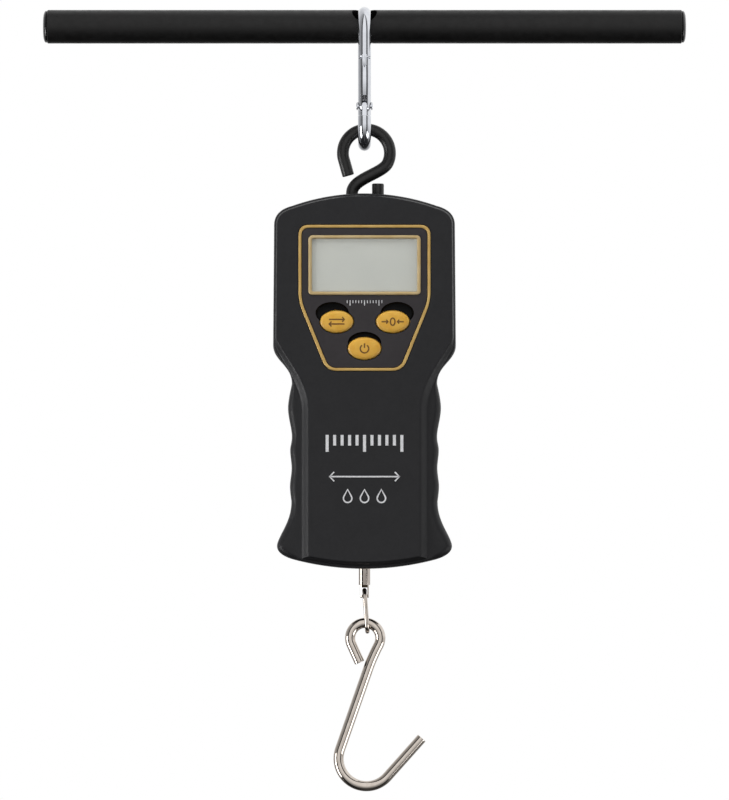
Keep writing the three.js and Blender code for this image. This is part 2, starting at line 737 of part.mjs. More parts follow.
function rodBush() {
  const profile = [
    [ROD_RADIUS + GAP, -225.6],
    [5, -225.6],
    [5, -222.6],
    [7, -222.6],
    [7, -221],
    [ROD_RADIUS + GAP, -221],
    [ROD_RADIUS + GAP, -225.6],
  ];
  return turned(profile, 24);
}

// ---------------------------------------------------------------- batteries

function battery(side, terminalUp) {
  const { radius, length } = BATTERY;
  const nub = 1;
  const profile = [
    [0, -length / 2],
    [radius, -length / 2],
    [radius, length / 2 - nub],
    [1.9, length / 2 - nub],
    [1.9, length / 2],
    [0, length / 2],
  ];
  const cell = turned(profile, 20);
  if (!terminalUp) cell.rotateX(Math.PI);
  return cell.translate(side * BATTERY.x, BATTERY.y, BATTERY.z);
}

function batteryContact(side) {
  const x = side * BATTERY.x;
  return block(x - 4, x + 4, BATTERY.y - 4, BATTERY.y + 4, BAY.top - 0.8, BAY.top - 0.3);
}

function batteryBridge() {
  return block(-18, 18, BATTERY.y - 4, BATTERY.y + 4, BAY.bottom + 0.3, BAY.bottom + 0.8);
}

// The conical spring that presses one battery's flat end, as the cone that it fills
function batterySpring(side, top, bottom, wideTop) {
  const wide = 3.4;
  const narrow = 1.6;
  const profile = [
    [0, bottom],
    [wideTop ? narrow : wide, bottom],
    [wideTop ? wide : narrow, top],
    [0, top],
  ];
  return turned(profile, 14).translate(side * BATTERY.x, BATTERY.y, 0);
}

function batteryCover() {
  const sheet = plate(
    roundedRectangle(COVER.half, COVER.bottom, COVER.top, 3),
    CASE_REAR - COVER.thickness,
    CASE_REAR,
  );
  const sink = alongY(SCREW_SINK, CASE_REAR - 1.3, CASE_REAR + 1, 0, COVER.screwZ);
  const way = alongY(SCREW_WAY, CASE_REAR - 4, CASE_REAR + 1, 0, COVER.screwZ, 14);
  return cut(sheet, sink, way);
}

function coverScrew() {
  const profile = [
    [0, 7],
    [1.4, 7.6],
    [1.4, 16],
    [2.7, 16],
    [2.7, 16.7],
    [0, 16.9],
  ];
  return turned(profile, 14).rotateX(-Math.PI / 2).translate(0, 0, COVER.screwZ);
}

// ---------------------------------------------------------------- link and load hook

// A long ring of wire in the YZ plane, with a butt seam in the middle of its rear leg
function swivelLink() {
  const topCentre = LINK_TOP - LINK_BEND;
  const bottomCentre = LINK_BOTTOM + LINK_BEND;
  const seam = (topCentre + bottomCentre) / 2;
  const path = new THREE.Path();
  path.moveTo(LINK_BEND, seam + GAP / 3);
  path.lineTo(LINK_BEND, topCentre);
  path.absarc(0, topCentre, LINK_BEND, 0, Math.PI, false);
  path.lineTo(-LINK_BEND, bottomCentre);
  path.absarc(0, bottomCentre, LINK_BEND, Math.PI, 2 * Math.PI, false);
  path.lineTo(LINK_BEND, seam - GAP / 3);
  const link = wire(path, inYZ, LINK_WIRE, 32);
  return link.translate(0, 0, -LINK_TOP).rotateY(-LINK_LEAN).translate(0, 0, LINK_TOP);
}

// Load hook: a closed eye, a leaning shank, a round bend and a straight point
function loadHook() {
  const eyeOpen = THREE.MathUtils.degToRad(205);
  const eyeLeave = THREE.MathUtils.degToRad(-28);
  const bendStart = Math.PI - HOOK_SHANK_LEAN;
  const bendEnd = HOOK_POINT_SLOPE - Math.PI / 2;
  const path = loopPath(HOOK_ARM_END, HOOK_LOOP, eyeOpen, eyeLeave);
  path.quadraticCurveTo(3, -263.4, 1.3, -268.5);
  path.absarc(HOOK_BEND.x, HOOK_BEND.z, HOOK_BEND.radius, bendStart, bendEnd, false);
  path.lineTo(HOOK_TIP.x, HOOK_TIP.z);
  return wire(path, inXZ, HOOK_WIRE, 50);
}

// ---------------------------------------------------------------- assembly

const fishScale = new THREE.Group();
const chain = new THREE.Group();
chain.position.y = HANG_Y;
fishScale.add(chain);

function add(parent, name, geometry, material) {
  const mesh = new THREE.Mesh(geometry, material);
  mesh.name = name;
  parent.add(mesh);
}

add(fishScale, "handle_tube", handleTube(), BLACK_PAINT);
add(fishScale, "handle_plug_left", handlePlug(-1), BLACK_PLASTIC);
add(fishScale, "handle_plug_right", handlePlug(1), BLACK_PLASTIC);

add(chain, "snap_hook_body", snapBody(), ZINC);
add(chain, "snap_hook_gate", snapGate(), ZINC);
add(chain, "snap_hook_rivet", gateRivet(), ZINC);
add(chain, "gate_plunger", gatePlunger(), DARK_STEEL);
add(chain, "s_hook", sHook(), BLACK_PAINT);

add(chain, "front_case", frontCase(), BLACK_PLASTIC);
add(chain, "rear_case", rearCase(), BLACK_PLASTIC);
add(chain, "case_seal_left", caseSeal(-1), RUBBER);
add(chain, "case_seal_right", caseSeal(1), RUBBER);
add(chain, "hook_grommet", hookGrommet(), RUBBER);
SCREW_PLACES.forEach(([x, z], i) => add(chain, `case_screw_${i + 1}`, caseScrew(x, z), DARK_STEEL));

add(chain, "face_panel", facePanel(), PANEL_PLASTIC);
add(chain, "face_trim", faceTrim(), GOLD_INK);
add(chain, "display_bezel", displayBezel(), GOLD_INK);
add(chain, "display_window", displayWindow(), CLEAR);
add(chain, "lcd_module", lcdModule(), LCD_GREY);
BUTTON_PLACES.forEach((place) => {
  add(chain, `${place.name}_button`, buttonKey(place), YELLOW_PLASTIC);
  add(chain, `${place.name}_switch`, tactileSwitch(place), DARK_STEEL);
});
add(chain, "circuit_board", circuitBoard(), BOARD_GREEN);
add(chain, "controller_chip", controllerChip(), CHIP_BLACK);

add(chain, "hook_eye", hookEye(), DARK_STEEL);
add(chain, "load_cell", loadCell(), ALUMINIUM);
add(chain, "cell_screw_left", cellScrew(-CELL.screwX), DARK_STEEL);
add(chain, "cell_screw_right", cellScrew(CELL.screwX), DARK_STEEL);
add(chain, "strain_gauge_left", strainGauge(-1), GOLD_INK);
add(chain, "strain_gauge_right", strainGauge(1), GOLD_INK);
add(chain, "load_cell_lead", cellLead(), RUBBER);
add(chain, "pull_rod", pullRod(), NICKEL);
add(chain, "rod_nut", rodNut(), NICKEL);
add(chain, "rod_bush", rodBush(), RUBBER);

add(chain, "battery_left", battery(-1, true), BATTERY_BLUE);
add(chain, "battery_right", battery(1, false), BATTERY_BLUE);
add(chain, "battery_contact_left", batteryContact(-1), NICKEL);
add(chain, "battery_contact_right", batteryContact(1), NICKEL);
add(chain, "battery_bridge", batteryBridge(), NICKEL);
add(chain, "battery_spring_left", batterySpring(-1, -205.3, -207.5, false), NICKEL);
add(chain, "battery_spring_right", batterySpring(1, -158.5, -160.1, true), NICKEL);
add(chain, "battery_cover", batteryCover(), BLACK_PLASTIC);
add(chain, "cover_screw", coverScrew(), DARK_STEEL);

add(chain, "swivel_link", swivelLink(), NICKEL);
add(chain, "load_hook", loadHook(), NICKEL);

export default fishScale;
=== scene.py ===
import json
import math

import bmesh
import bpy
from mathutils import Matrix, Vector

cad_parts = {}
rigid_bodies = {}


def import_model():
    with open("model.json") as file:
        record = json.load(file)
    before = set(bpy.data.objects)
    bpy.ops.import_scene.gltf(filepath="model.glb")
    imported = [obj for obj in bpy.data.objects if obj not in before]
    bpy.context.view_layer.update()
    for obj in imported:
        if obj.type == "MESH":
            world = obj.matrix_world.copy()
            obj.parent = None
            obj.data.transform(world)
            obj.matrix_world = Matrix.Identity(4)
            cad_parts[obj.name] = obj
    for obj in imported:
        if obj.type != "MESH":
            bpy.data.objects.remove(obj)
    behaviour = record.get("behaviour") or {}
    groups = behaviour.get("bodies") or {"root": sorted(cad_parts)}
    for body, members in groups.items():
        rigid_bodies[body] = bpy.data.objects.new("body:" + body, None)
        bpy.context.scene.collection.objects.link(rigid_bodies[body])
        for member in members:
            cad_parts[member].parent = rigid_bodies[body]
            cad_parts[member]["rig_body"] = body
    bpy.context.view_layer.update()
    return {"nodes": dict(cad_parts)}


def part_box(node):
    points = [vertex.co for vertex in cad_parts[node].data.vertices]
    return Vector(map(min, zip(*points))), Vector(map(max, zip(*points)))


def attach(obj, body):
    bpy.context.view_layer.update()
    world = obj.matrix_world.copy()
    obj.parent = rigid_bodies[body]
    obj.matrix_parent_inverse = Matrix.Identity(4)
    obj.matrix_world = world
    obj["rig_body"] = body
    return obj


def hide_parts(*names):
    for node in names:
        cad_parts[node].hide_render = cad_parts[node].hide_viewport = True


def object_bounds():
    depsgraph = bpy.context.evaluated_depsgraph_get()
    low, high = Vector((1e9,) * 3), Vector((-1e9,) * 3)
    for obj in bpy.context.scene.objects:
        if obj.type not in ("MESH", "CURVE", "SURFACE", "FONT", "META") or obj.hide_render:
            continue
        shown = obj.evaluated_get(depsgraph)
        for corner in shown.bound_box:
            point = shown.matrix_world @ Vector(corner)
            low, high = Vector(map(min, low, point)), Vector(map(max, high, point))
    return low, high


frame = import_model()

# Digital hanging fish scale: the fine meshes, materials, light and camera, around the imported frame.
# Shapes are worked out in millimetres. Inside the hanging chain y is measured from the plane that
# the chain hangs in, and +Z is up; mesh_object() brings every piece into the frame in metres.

MM = 0.001


def mm_box(node):
    """The low and high corners of a CAD node, in millimetres."""
    low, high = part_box(node)
    return low / MM, high / MM


def centre_of(node):
    """(x, z) of the middle of a CAD node."""
    low, high = mm_box(node)
    return (low.x + high.x) / 2, (low.z + high.z) / 2


# ---------------------------------------------------------------- dimensions, from the frame

GAP = 0.3

BAR_HALF = mm_box("handle_tube")[1].x
BAR_RADIUS = mm_box("handle_tube")[1].z
BAR_WALL = 1.5
BAR_HOLE_RADIUS = 5.25
BAR_HOLE_TILT = math.radians(30)
BAR_EDGE = 0.4
PLUG_LOW, PLUG_HIGH = mm_box("handle_plug_right")

S_LOW, S_HIGH = mm_box("s_hook")
HANG_Y = (S_LOW.y + S_HIGH.y) / 2

SNAP_LOW, SNAP_HIGH = mm_box("snap_hook_body")
GATE_LOW, GATE_HIGH = mm_box("snap_hook_gate")
SNAP_WIRE = SNAP_HIGH.x
SNAP_BEND = (SNAP_HIGH.y - SNAP_LOW.y) / 2 - SNAP_WIRE
SNAP_TOP_CENTRE = SNAP_HIGH.z - SNAP_WIRE - SNAP_BEND
SNAP_BOTTOM_CENTRE = SNAP_LOW.z + SNAP_WIRE + SNAP_BEND
GATE_TOP = GATE_HIGH.z
GATE_PIVOT = GATE_LOW.z + SNAP_WIRE
GATE_WINDOW_TOP = -29.1
GATE_FORK = 2.4
GATE_BORE = 1.15
TONGUE = 1.8
TONGUE_REACH = 2.5
NOSE_LOW = (-2.7, -3.2)  # corners of the nose's tongue, from the wire's middle and the gate's top
NOSE_HIGH = (2, 1.5)
RIVET_RADIUS = 1

S_WIRE = (S_HIGH.y - S_LOW.y) / 2
S_LOOP = (0.8, -52.9, 9.8)  # x, z and radius of the open loop
S_LOOP_ANGLES = (193, -25)
S_ARM_END = (-6.7, -62.4)
S_LEGS = (-5.2, 5.6)
S_LEG_TOP = -69.5
S_STUB_TOP = -65.6
S_BEND_Z = -79

REAR_LOW, REAR_HIGH = mm_box("rear_case")
CASE_TOP = REAR_HIGH.z
CASE_BOTTOM = REAR_LOW.z
CASE_HALF = REAR_HIGH.x
CASE_REAR = REAR_HIGH.y - HANG_Y
CASE_WALL = 3
SHELL_EDGE = 3.8
SEAM_EDGE = (0.25, 0.3)  # how far the shells' seam edge is broken, inwards and along Y
FACE_FRONT = mm_box("front_case")[0].y - HANG_Y
GRIP_FRONT = FACE_FRONT + 2.5
PANEL_RECESS = 0.9
LABEL_BACK = FACE_FRONT + PANEL_RECESS - 0.1
FILM_FRONT = FACE_FRONT + 0.1
DISPLAY_BACK = -8
LEG_BORE = S_WIRE + 0.4
FOOT_BORE = 5.3
SCREW_NAMES = [f"case_screw_{number}" for number in range(1, 7)]
SCREW_SINK = 3
LONG_SCREW = 11
CROSS_ARM = (0.5, 2.6)
POST_RADIUS = 3.2
PILOT_RADIUS = 1.7

TRIM_LOW, TRIM_HIGH = mm_box("face_trim")
TRIM_WAIST = -115
TRIM_FOOT_HALF = 15.8
TRIM_WIDTH = 1.2
TRIM_CORNER = 4.4
BEZEL_LOW, BEZEL_HIGH = mm_box("display_bezel")
BEZEL_WIDTH = 1.4

BUTTON_HALF = (6.9, 4.6)
BUTTON_FRONT = -14.5
WELL_GAP = 0.35
SCOOP_REACH = 12
BUTTON_SCOOPS = {"unit": (-1.9, 3.6), "tare": (1.9, 3.6), "power": (0, 2.3)}
BUTTONS = {name: centre_of(name + "_button") for name in BUTTON_SCOOPS}
SCOOP_DEPTH = 2.2

# Tops of the two rules, and the middle heights of the double arrow and the drops
FILM_RULE_Z = -114.4
CASE_RULE_Z = -170.3
RANGE_Z = -187.6
RANGE_HALF = 14.5
DROPS_Z = -196.6

ROD_LOW, ROD_HIGH = mm_box("pull_rod")
ROD_RADIUS = ROD_HIGH.x
ROD_FLAT_TOP = -232.8
ROD_FLAT_HALF = (1.8, 2)  # half the block's width and depth
ROD_SLOT_HALF = 1.22
ROD_SLOT = (-236.9, -233.9)

COVER_LOW, COVER_HIGH = mm_box("battery_cover")
COVER_THICKNESS = COVER_HIGH.y - COVER_LOW.y
COVER_SCREW = (0, 0, centre_of("cover_screw")[1])
BAY_HALF = 20.6
BAY_TOP = -157.4
BAY_BOTTOM = -208.6
BAY_FLOOR = 4.2
BAY_WALL = 1.3

LINK_LOW, LINK_HIGH = mm_box("swivel_link")
LINK_WIRE = 0.95
LINK_BEND = (LINK_HIGH.y - LINK_LOW.y) / 2 - LINK_WIRE
LINK_TOP = -235.05
LINK_BOTTOM = -252.3
LINK_LEAN = math.radians(4)

HOOK_LOW, HOOK_HIGH = mm_box("load_hook")
HOOK_WIRE = (HOOK_HIGH.y - HOOK_LOW.y) / 2
HOOK_LOOP = (0.3, -254.95, 6.3)  # x, z and radius of the eye
HOOK_LOOP_ANGLES = (205, -28)
HOOK_ARM_END = (-2, -265.2)
HOOK_NECK = (3, -263.4)
HOOK_SHANK_TOP = (1.3, -268.5)
HOOK_BEND = (0.8, -305.1, 11.6)
HOOK_SHANK_LEAN = 19.3
HOOK_POINT_SLOPE = 48.6
HOOK_TIP = (23.9, -296.6)


# ---------------------------------------------------------------- flat paths


def line(start, end, count):
    """Points from start towards end, without the end."""
    across = end[0] - start[0]
    up = end[1] - start[1]
    return [(start[0] + across * i / count, start[1] + up * i / count) for i in range(count)]


def stroke(start, end, count):
    """The same with the end."""
    return line(start, end, count) + [end]


def on_oval(centre, half_width, half_height, degrees):
    """The point of an oval at this angle."""
    angle = math.radians(degrees)
    return centre[0] + half_width * math.cos(angle), centre[1] + half_height * math.sin(angle)


def arc(centre, radius, start, end, count):
    """Points round a centre between two angles in degrees, without the last."""
    turn = (end - start) / count
    return [on_oval(centre, radius, radius, start + turn * i) for i in range(count)]


def bezier(corners, count):
    """Points on a Bezier curve of any degree, without the last."""
    degree = len(corners) - 1
    points = []
    for i in range(count):
        t = i / count
        weights = [math.comb(degree, k) * t**k * (1 - t) ** (degree - k) for k in range(degree + 1)]
        points.append(tuple(sum(w * c[axis] for w, c in zip(weights, corners)) for axis in (0, 1)))
    return points


def spline(knots, count):
    """Points on a smooth curve through the knots, count to each span, without the last."""
    points = []
    for span in range(len(knots) - 1):
        a = knots[max(span - 1, 0)]
        b = knots[span]
        c = knots[span + 1]
        d = knots[min(span + 2, len(knots) - 1)]
        for i in range(count):
            t = i / count
            point = []
            for k in (0, 1):
                square = a[k] - 2.5 * b[k] + 2 * c[k] - 0.5 * d[k]
                cube = 1.5 * b[k] - 0.5 * a[k] - 1.5 * c[k] + 0.5 * d[k]
                point.append(b[k] + 0.5 * (c[k] - a[k]) * t + square * t**2 + cube * t**3)
            points.append(tuple(point))
    return points


def ellipse(centre, half_width, half_height):
    """A whole oval as a closed outline."""
    count = 96
    return [on_oval(centre, half_width, half_height, 360 * i / count) for i in range(count)]


def rounded_polygon(corners, radius, count=8):
    """A closed outline with every corner rounded, and its sides divided too."""
    points = []
    for i, corner in enumerate(corners):
        here = Vector(corner)
        before = Vector(corners[i - 1])
        after = Vector(corners[(i + 1) % len(corners)])
        enter = here + (before - here).normalized() * radius
        leave = here + (after - here).normalized() * radius
        end = after + (here - after).normalized() * radius
        points += bezier([enter, here, leave], count)
        points += line(leave, end, count)
    return points


def rounded_rectangle(half, bottom, top, radius):
    """A closed outline that is centred on x = 0."""
    return rounded_polygon([(-half, bottom), (half, bottom), (half, top), (-half, top)], radius)


# How many points on each side of a point say how an outline turns there
NEIGHBOURS = 6


def inset(outline, amount):
    """The closed outline moved inwards, by one amount or by one for each point."""
    count = len(outline)
    amounts = amount if isinstance(amount, list) else [amount] * count
    area = sum(a[0] * b[1] - b[0] * a[1] for a, b in zip([outline[-1]] + outline, outline))
    inwards = math.copysign(1, area)
    moved = []
    for i, (x, z) in enumerate(outline):
        before = Vector(outline[i - 1])
        after = Vector(outline[(i + 1) % count])
        along = (after - before).normalized() * inwards * amounts[i]
        moved.append((x - along.y, z + along.x))
    return moved


def room(outline, limit):
    """How far each point can move inwards: less than the limit where the outline turns tightly."""
    reach = NEIGHBOURS
    share = 0.5
    count = len(outline)
    free = []
    for i in range(count):
        into = Vector(outline[i]) - Vector(outline[i - reach])
        out = Vector(outline[(i + reach) % count]) - Vector(outline[i])
        turn = max(into.angle(out), 1e-3)
        free.append(min(limit, share * (into.length + out.length) / 2 / turn))
    return evened(free)


def evened(amounts):
    """Each amount averaged with its neighbours round the outline."""
    count = len(amounts)
    window = range(-NEIGHBOURS, NEIGHBOURS + 1)
    return [sum(amounts[(i + k) % count] for k in window) / len(window) for i in range(count)]


def mirrored(right_half):
    """A right half from top centre to bottom centre, closed by its mirror image."""
    return right_half + [(-x, z) for x, z in reversed(right_half[1:-1])]


# ---------------------------------------------------------------- meshes


def add_object(name, data):
    """A new object in the scene."""
    made = bpy.data.objects.new(name, data)
    bpy.context.scene.collection.objects.link(made)
    return made


def mesh_object(name, points, faces, shift_y=HANG_Y):
    """A new object from points in millimetres, with its normals outwards."""
    mesh = bpy.data.meshes.new(name)
    moved = [(p[0] * MM, (p[1] + shift_y) * MM, p[2] * MM) for p in points]
    mesh.from_pydata(moved, [], faces)
    work = bmesh.new()
    work.from_mesh(mesh)
    bmesh.ops.recalc_face_normals(work, faces=work.faces)
    work.to_mesh(mesh)
    work.free()
    return add_object(name, mesh)


def loft(name, rings, ring_of_rings=False, shift_y=HANG_Y):
    """A closed skin over rings of equally many points: capped, or one ring of rings."""
    count = len(rings[0])
    total = len(rings)
    faces = []
    for r in range(total if ring_of_rings else total - 1):
        here = r * count
        there = (r + 1) % total * count
        for i in range(count):
            j = (i + 1) % count
            faces.append((here + i, here + j, there + j, there + i))
    if not ring_of_rings:
        faces.append(tuple(reversed(range(count))))
        faces.append(tuple((total - 1) * count + i for i in range(count)))
    return mesh_object(name, [p for ring in rings for p in ring], faces, shift_y)


def at_depth(outline, y):
    """A flat outline as a ring of points in space."""
    return [(x, y, z) for x, z in outline]


def quarter(steps, first=0):
    """Angles in equal steps up to 90 degrees."""
    return [step / steps * math.pi / 2 for step in range(first, steps + 1)]


def rounded_rings(outline, edges, start, end, steps):
    """Rings from the outline at the start depth to the outline moved in by its edges at the end."""
    rings = []
    for angle in quarter(steps):
        amounts = [edge * (1 - math.cos(angle)) for edge in edges]
        rings.append(at_depth(inset(outline, amounts), start + (end - start) * math.sin(angle)))
    return rings


def prism(name, outline, front, back, edge=0.0):
    """A plate in the XZ plane; its front edge can be rounded."""
    rings = [at_depth(outline, back)]
    if edge:
        rings += rounded_rings(outline, [edge] * len(outline), front + edge, front, 4)
    else:
        rings.append(at_depth(outline, front))
    return loft(name, rings)


def band(name, outer, inner, front, back, edge):
    """A frame between two outlines, with rounded front edges."""
    rings = [
        at_depth(outer, back),
        at_depth(outer, front + edge),
        at_depth(inset(outer, edge * 0.3), front + edge * 0.3),
        at_depth(inset(outer, edge), front),
        at_depth(inset(inner, -edge), front),
        at_depth(inset(inner, -edge * 0.3), front + edge * 0.3),
        at_depth(inner, front + edge),
        at_depth(inner, back),
    ]
    return loft(name, rings, ring_of_rings=True)


AXES = {
    "X": lambda a, b, h: (h, a, b),
    "Y": lambda a, b, h: (a, h, b),
    "Z": lambda a, b, h: (a, b, h),
}


def turned(name, profile, axis, centre=(0, 0, 0), sides=64, closed=False, shift_y=HANG_Y):
    """A turned piece: the profile holds (radius, height) pairs along the axis from the centre."""
    rings = []
    for radius, height in profile:
        ring = []
        for i in range(sides):
            angle = 2 * math.pi * i / sides
            a = max(radius, 0.02) * math.cos(angle)
            b = max(radius, 0.02) * math.sin(angle)
            x, y, z = AXES[axis](a, b, height)
            ring.append((centre[0] + x, centre[1] + y, centre[2] + z))
        rings.append(ring)
    return loft(name, rings, closed, shift_y)


def rod(name, radius, axis, start, end, centre=(0, 0, 0), sides=48, shift_y=HANG_Y):
    """A plain cylinder, mostly as a cutter."""
    return turned(name, [(radius, start), (radius, end)], axis, centre, sides, shift_y=shift_y)


def block(name, low, high):
    """A box between two corners, as a cutter or to be joined on."""
    ring = [(low[0], low[2]), (high[0], low[2]), (high[0], high[2]), (low[0], high[2])]
    return loft(name, [at_depth(ring, low[1]), at_depth(ring, high[1])])


def resampled(points, spacing):
    """The same path with evenly spaced points."""
    lengths = [0.0]
    for a, b in zip(points, points[1:]):
        lengths.append(lengths[-1] + (b - a).length)
    count = max(2, round(lengths[-1] / spacing))
    result = []
    span = 0
    for i in range(count + 1):
        target = lengths[-1] * i / count
        while span < len(points) - 2 and lengths[span + 1] < target:
            span += 1
        part = (target - lengths[span]) / max(lengths[span + 1] - lengths[span], 1e-9)
        result.append(points[span].lerp(points[span + 1], min(part, 1.0)))
    return result


def wire(name, path, normal, radius, end_round, sides, spacing=0.6):
    """Round wire along a flat path, with its two cut ends rounded off."""
    points = resampled([Vector(p) for p in path], spacing)
    flat = Vector(normal)

    def ring(point, along, size):
        side = along.cross(flat).normalized()
        return [
            tuple(
                point
                + side * size * math.cos(2 * math.pi * i / sides)
                + flat * size * math.sin(2 * math.pi * i / sides)
            )
            for i in range(sides)
        ]

    def rounded_end(tip, inner, along):
        into = (inner - tip).normalized()
        rings = []
        for angle in quarter(5):
            size = radius - end_round * (1 - math.sin(angle))
            rings.append(ring(tip + into * end_round * (1 - math.cos(angle)), along, size))
        return rings

    rings = rounded_end(points[0], points[1], points[1] - points[0])
    for i in range(1, len(points) - 1):
        rings.append(ring(points[i], points[i + 1] - points[i - 1], radius))
    rings += reversed(rounded_end(points[-1], points[-2], points[-1] - points[-2]))
    return loft(name, rings)


def settle(made):
    """Applies a piece's modifiers to its mesh."""
    graph = bpy.context.evaluated_depsgraph_get()
    mesh = bpy.data.meshes.new_from_object(made.evaluated_get(graph))
    made.modifiers.clear()
    made.data = mesh


def boolean(made, operation, cutters):
    """Adds or takes away all the other pieces at once, and clears them away."""
    others = bpy.data.collections.new("others")
    for cutter in cutters:
        others.objects.link(cutter)
    step = made.modifiers.new(operation, "BOOLEAN")
    step.operation = operation
    step.solver = "EXACT"
    step.operand_type = "COLLECTION"
    step.collection = others
    settle(made)
    for cutter in cutters:
        bpy.data.objects.remove(cutter)
    bpy.data.collections.remove(others)


def cut(made, *cutters):
    boolean(made, "DIFFERENCE", cutters)


def join(made, *others):
    boolean(made, "UNION", others)


def bevel(made, width, angle, segments):
    """Puts a bevel on the edges that are sharper than the angle; width is in millimetres."""
    step = made.modifiers.new("edges", "BEVEL")
    step.width = width * MM
    step.segments = segments
    step.limit_method = "ANGLE"
    step.angle_limit = math.radians(angle)


def soften(made, width, angle, segments=3):
    """The same bevel, applied to the mesh."""
    bevel(made, width, angle, segments)
    settle(made)


def smooth(made, angle=35):
    """Smooth shading, with the edges above the angle kept sharp."""
    made.data.shade_smooth()
    made.data.set_sharp_from_angle(angle=math.radians(angle))
    return made


def ribbon(name, strokes, width, surface):
    """Printed strokes of one width that lie on a surface; surface(x, z) gives its y."""
    lift = 0.04
    depth = 0.25
    points = []
    faces = []
    for run in strokes:
        closed = run[0] == run[-1]
        path = run[:-1] if closed else run
        count = len(path)
        first = len(points)
        for i, here in enumerate(path):
            before = Vector(path[i - 1] if closed or i else here)
            after = Vector(path[(i + 1) % count] if closed or i < count - 1 else here)
            along = (after - before).normalized()
            for side in (-width / 2, width / 2):
                x = here[0] - along.y * side
                z = here[1] + along.x * side
                for rise in (-lift, depth):
                    points.append((x, surface(x, z) + rise, z))
        for i in range(count if closed else count - 1):
            a = first + 4 * i
            b = first + 4 * ((i + 1) % count)
            for p, q in ((0, 2), (2, 3), (3, 1), (1, 0)):
                faces.append((a + p, a + q, b + q, b + p))
        if not closed:
            last = first + 4 * (count - 1)
            faces.append((first, first + 1, first + 3, first + 2))
            faces.append((last, last + 2, last + 3, last + 1))
    return mesh_object(name, points, faces)


def finish_piece(made, body, slot, *nodes, look=None):
    """Gives a piece its look (its slot's own unless told) and its body, and hides the CAD nodes it
    stands in for.
    """
    made.data.materials.clear()
    made.data.materials.append(look or LOOKS[slot])
    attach(made, body)
    if nodes:
        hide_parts(*nodes)


# ---------------------------------------------------------------- materials


def srgb(red, green, blue):
    """A colour from its usual 0 to 255 values, as linear light."""
    linear = []
    for value in (red, green, blue):
        share = value / 255
        linear.append(share / 12.92 if share <= 0.04045 else ((share + 0.055) / 1.055) ** 2.4)
    return (*linear, 1)


def shader_of(look):
    return look.node_tree.nodes["Principled BSDF"]


def new_look(name, colour, roughness, **sockets):
    """A material with values on its shader's own sockets; an underscore stands for a space."""
    look = bpy.data.materials.new(name)
    look.use_nodes = True
    shader = shader_of(look)
    shader.inputs["Base Color"].default_value = colour
    shader.inputs["Roughness"].default_value = roughness
    for socket, value in sockets.items():
        shader.inputs[socket.replace("_", " ")].default_value = value
    return look


def add_node(look, kind, **settings):
    """A node of this kind in the tree of a material, or of the world."""
    node = look.node_tree.nodes.new(kind)
    for name, value in settings.items():
        setattr(node, name, value)
    return node


def noise(look, size, detail=3.0, stretch=(1, 1, 1)):
    """Noise fixed to the piece, with spots of about this size in millimetres."""
    links = look.node_tree.links
    place = add_node(look, "ShaderNodeTexCoord")
    mapping = add_node(look, "ShaderNodeMapping")
    mapping.inputs["Scale"].default_value = stretch
    pattern = add_node(look, "ShaderNodeTexNoise")
    pattern.inputs["Scale"].default_value = 1 / (size * MM)
    pattern.inputs["Detail"].default_value = detail
    links.new(place.outputs["Object"], mapping.inputs["Vector"])
    links.new(mapping.outputs["Vector"], pattern.inputs["Vector"])
    return pattern.outputs["Fac"]


def spread(look, source, low, high, out_low, out_high):
    """The source between two values, brought to another range."""
    node = add_node(look, "ShaderNodeMapRange")
    node.inputs["From Min"].default_value = low
    node.inputs["From Max"].default_value = high
    node.inputs["To Min"].default_value = out_low
    node.inputs["To Max"].default_value = out_high
    look.node_tree.links.new(source, node.inputs["Value"])
    return node.outputs["Result"]


def tint(look, source, dark, light):
    """The base colour, blended between two colours by the source."""
    links = look.node_tree.links
    mix = add_node(look, "ShaderNodeMix", data_type="RGBA")
    mix.inputs["A"].default_value = dark
    mix.inputs["B"].default_value = light
    links.new(source, mix.inputs["Factor"])
    links.new(mix.outputs["Result"], shader_of(look).inputs["Base Color"])


def wear_and_highlight(look, amount, colour):
    """Paler colour on the convex edges: partly rubbed wear, partly a painted edge highlight."""
    links = look.node_tree.links
    shader = shader_of(look)
    geometry = add_node(look, "ShaderNodeNewGeometry")
    edges = spread(look, geometry.outputs["Pointiness"], 0.53, 0.62, 0.0, amount)
    mix = add_node(look, "ShaderNodeMix", data_type="RGBA")
    mix.inputs["B"].default_value = colour
    base = shader.inputs["Base Color"]
    links.new(edges, mix.inputs["Factor"])
    links.new(base.links[0].from_socket, mix.inputs["A"])
    links.new(mix.outputs["Result"], base)


def gloss(look, size, low, high, stretch=(1, 1, 1)):
    """Roughness that wanders between two values."""
    source = spread(look, noise(look, size, 2.0, stretch), 0.35, 0.65, low, high)
    shader = shader_of(look)
    look.node_tree.links.new(source, shader.inputs["Roughness"])


def relief(look, source, height, strength):
    """Bump of this height in millimetres, on top of any that is there."""
    links = look.node_tree.links
    shader = shader_of(look)
    bump = add_node(look, "ShaderNodeBump")
    bump.inputs["Strength"].default_value = strength
    bump.inputs["Distance"].default_value = height * MM
    links.new(source, bump.inputs["Height"])
    if shader.inputs["Normal"].is_linked:
        links.new(shader.inputs["Normal"].links[0].from_socket, bump.inputs["Normal"])
    links.new(bump.outputs["Normal"], shader.inputs["Normal"])


def patchy(name, colour, roughness, tones, sheen=None, bumps=(), stretch=(1, 1, 1), **sockets):
    """A material whose colour and roughness wander, with any number of bumps.

    tones is (size, detail, dark, light), sheen is (size, low, high) and a bump is (size, detail,
    height, strength), with sizes in millimetres; stretch draws out the colour and the sheen.
    """
    look = new_look(name, srgb(*colour), roughness, **sockets)
    size, detail, dark, light = tones
    tint(look, noise(look, size, detail, stretch), srgb(*dark), srgb(*light))
    if sheen:
        gloss(look, *sheen, stretch)
    for size, detail, height, strength in bumps:
        relief(look, noise(look, size, detail), height, strength)
    return look


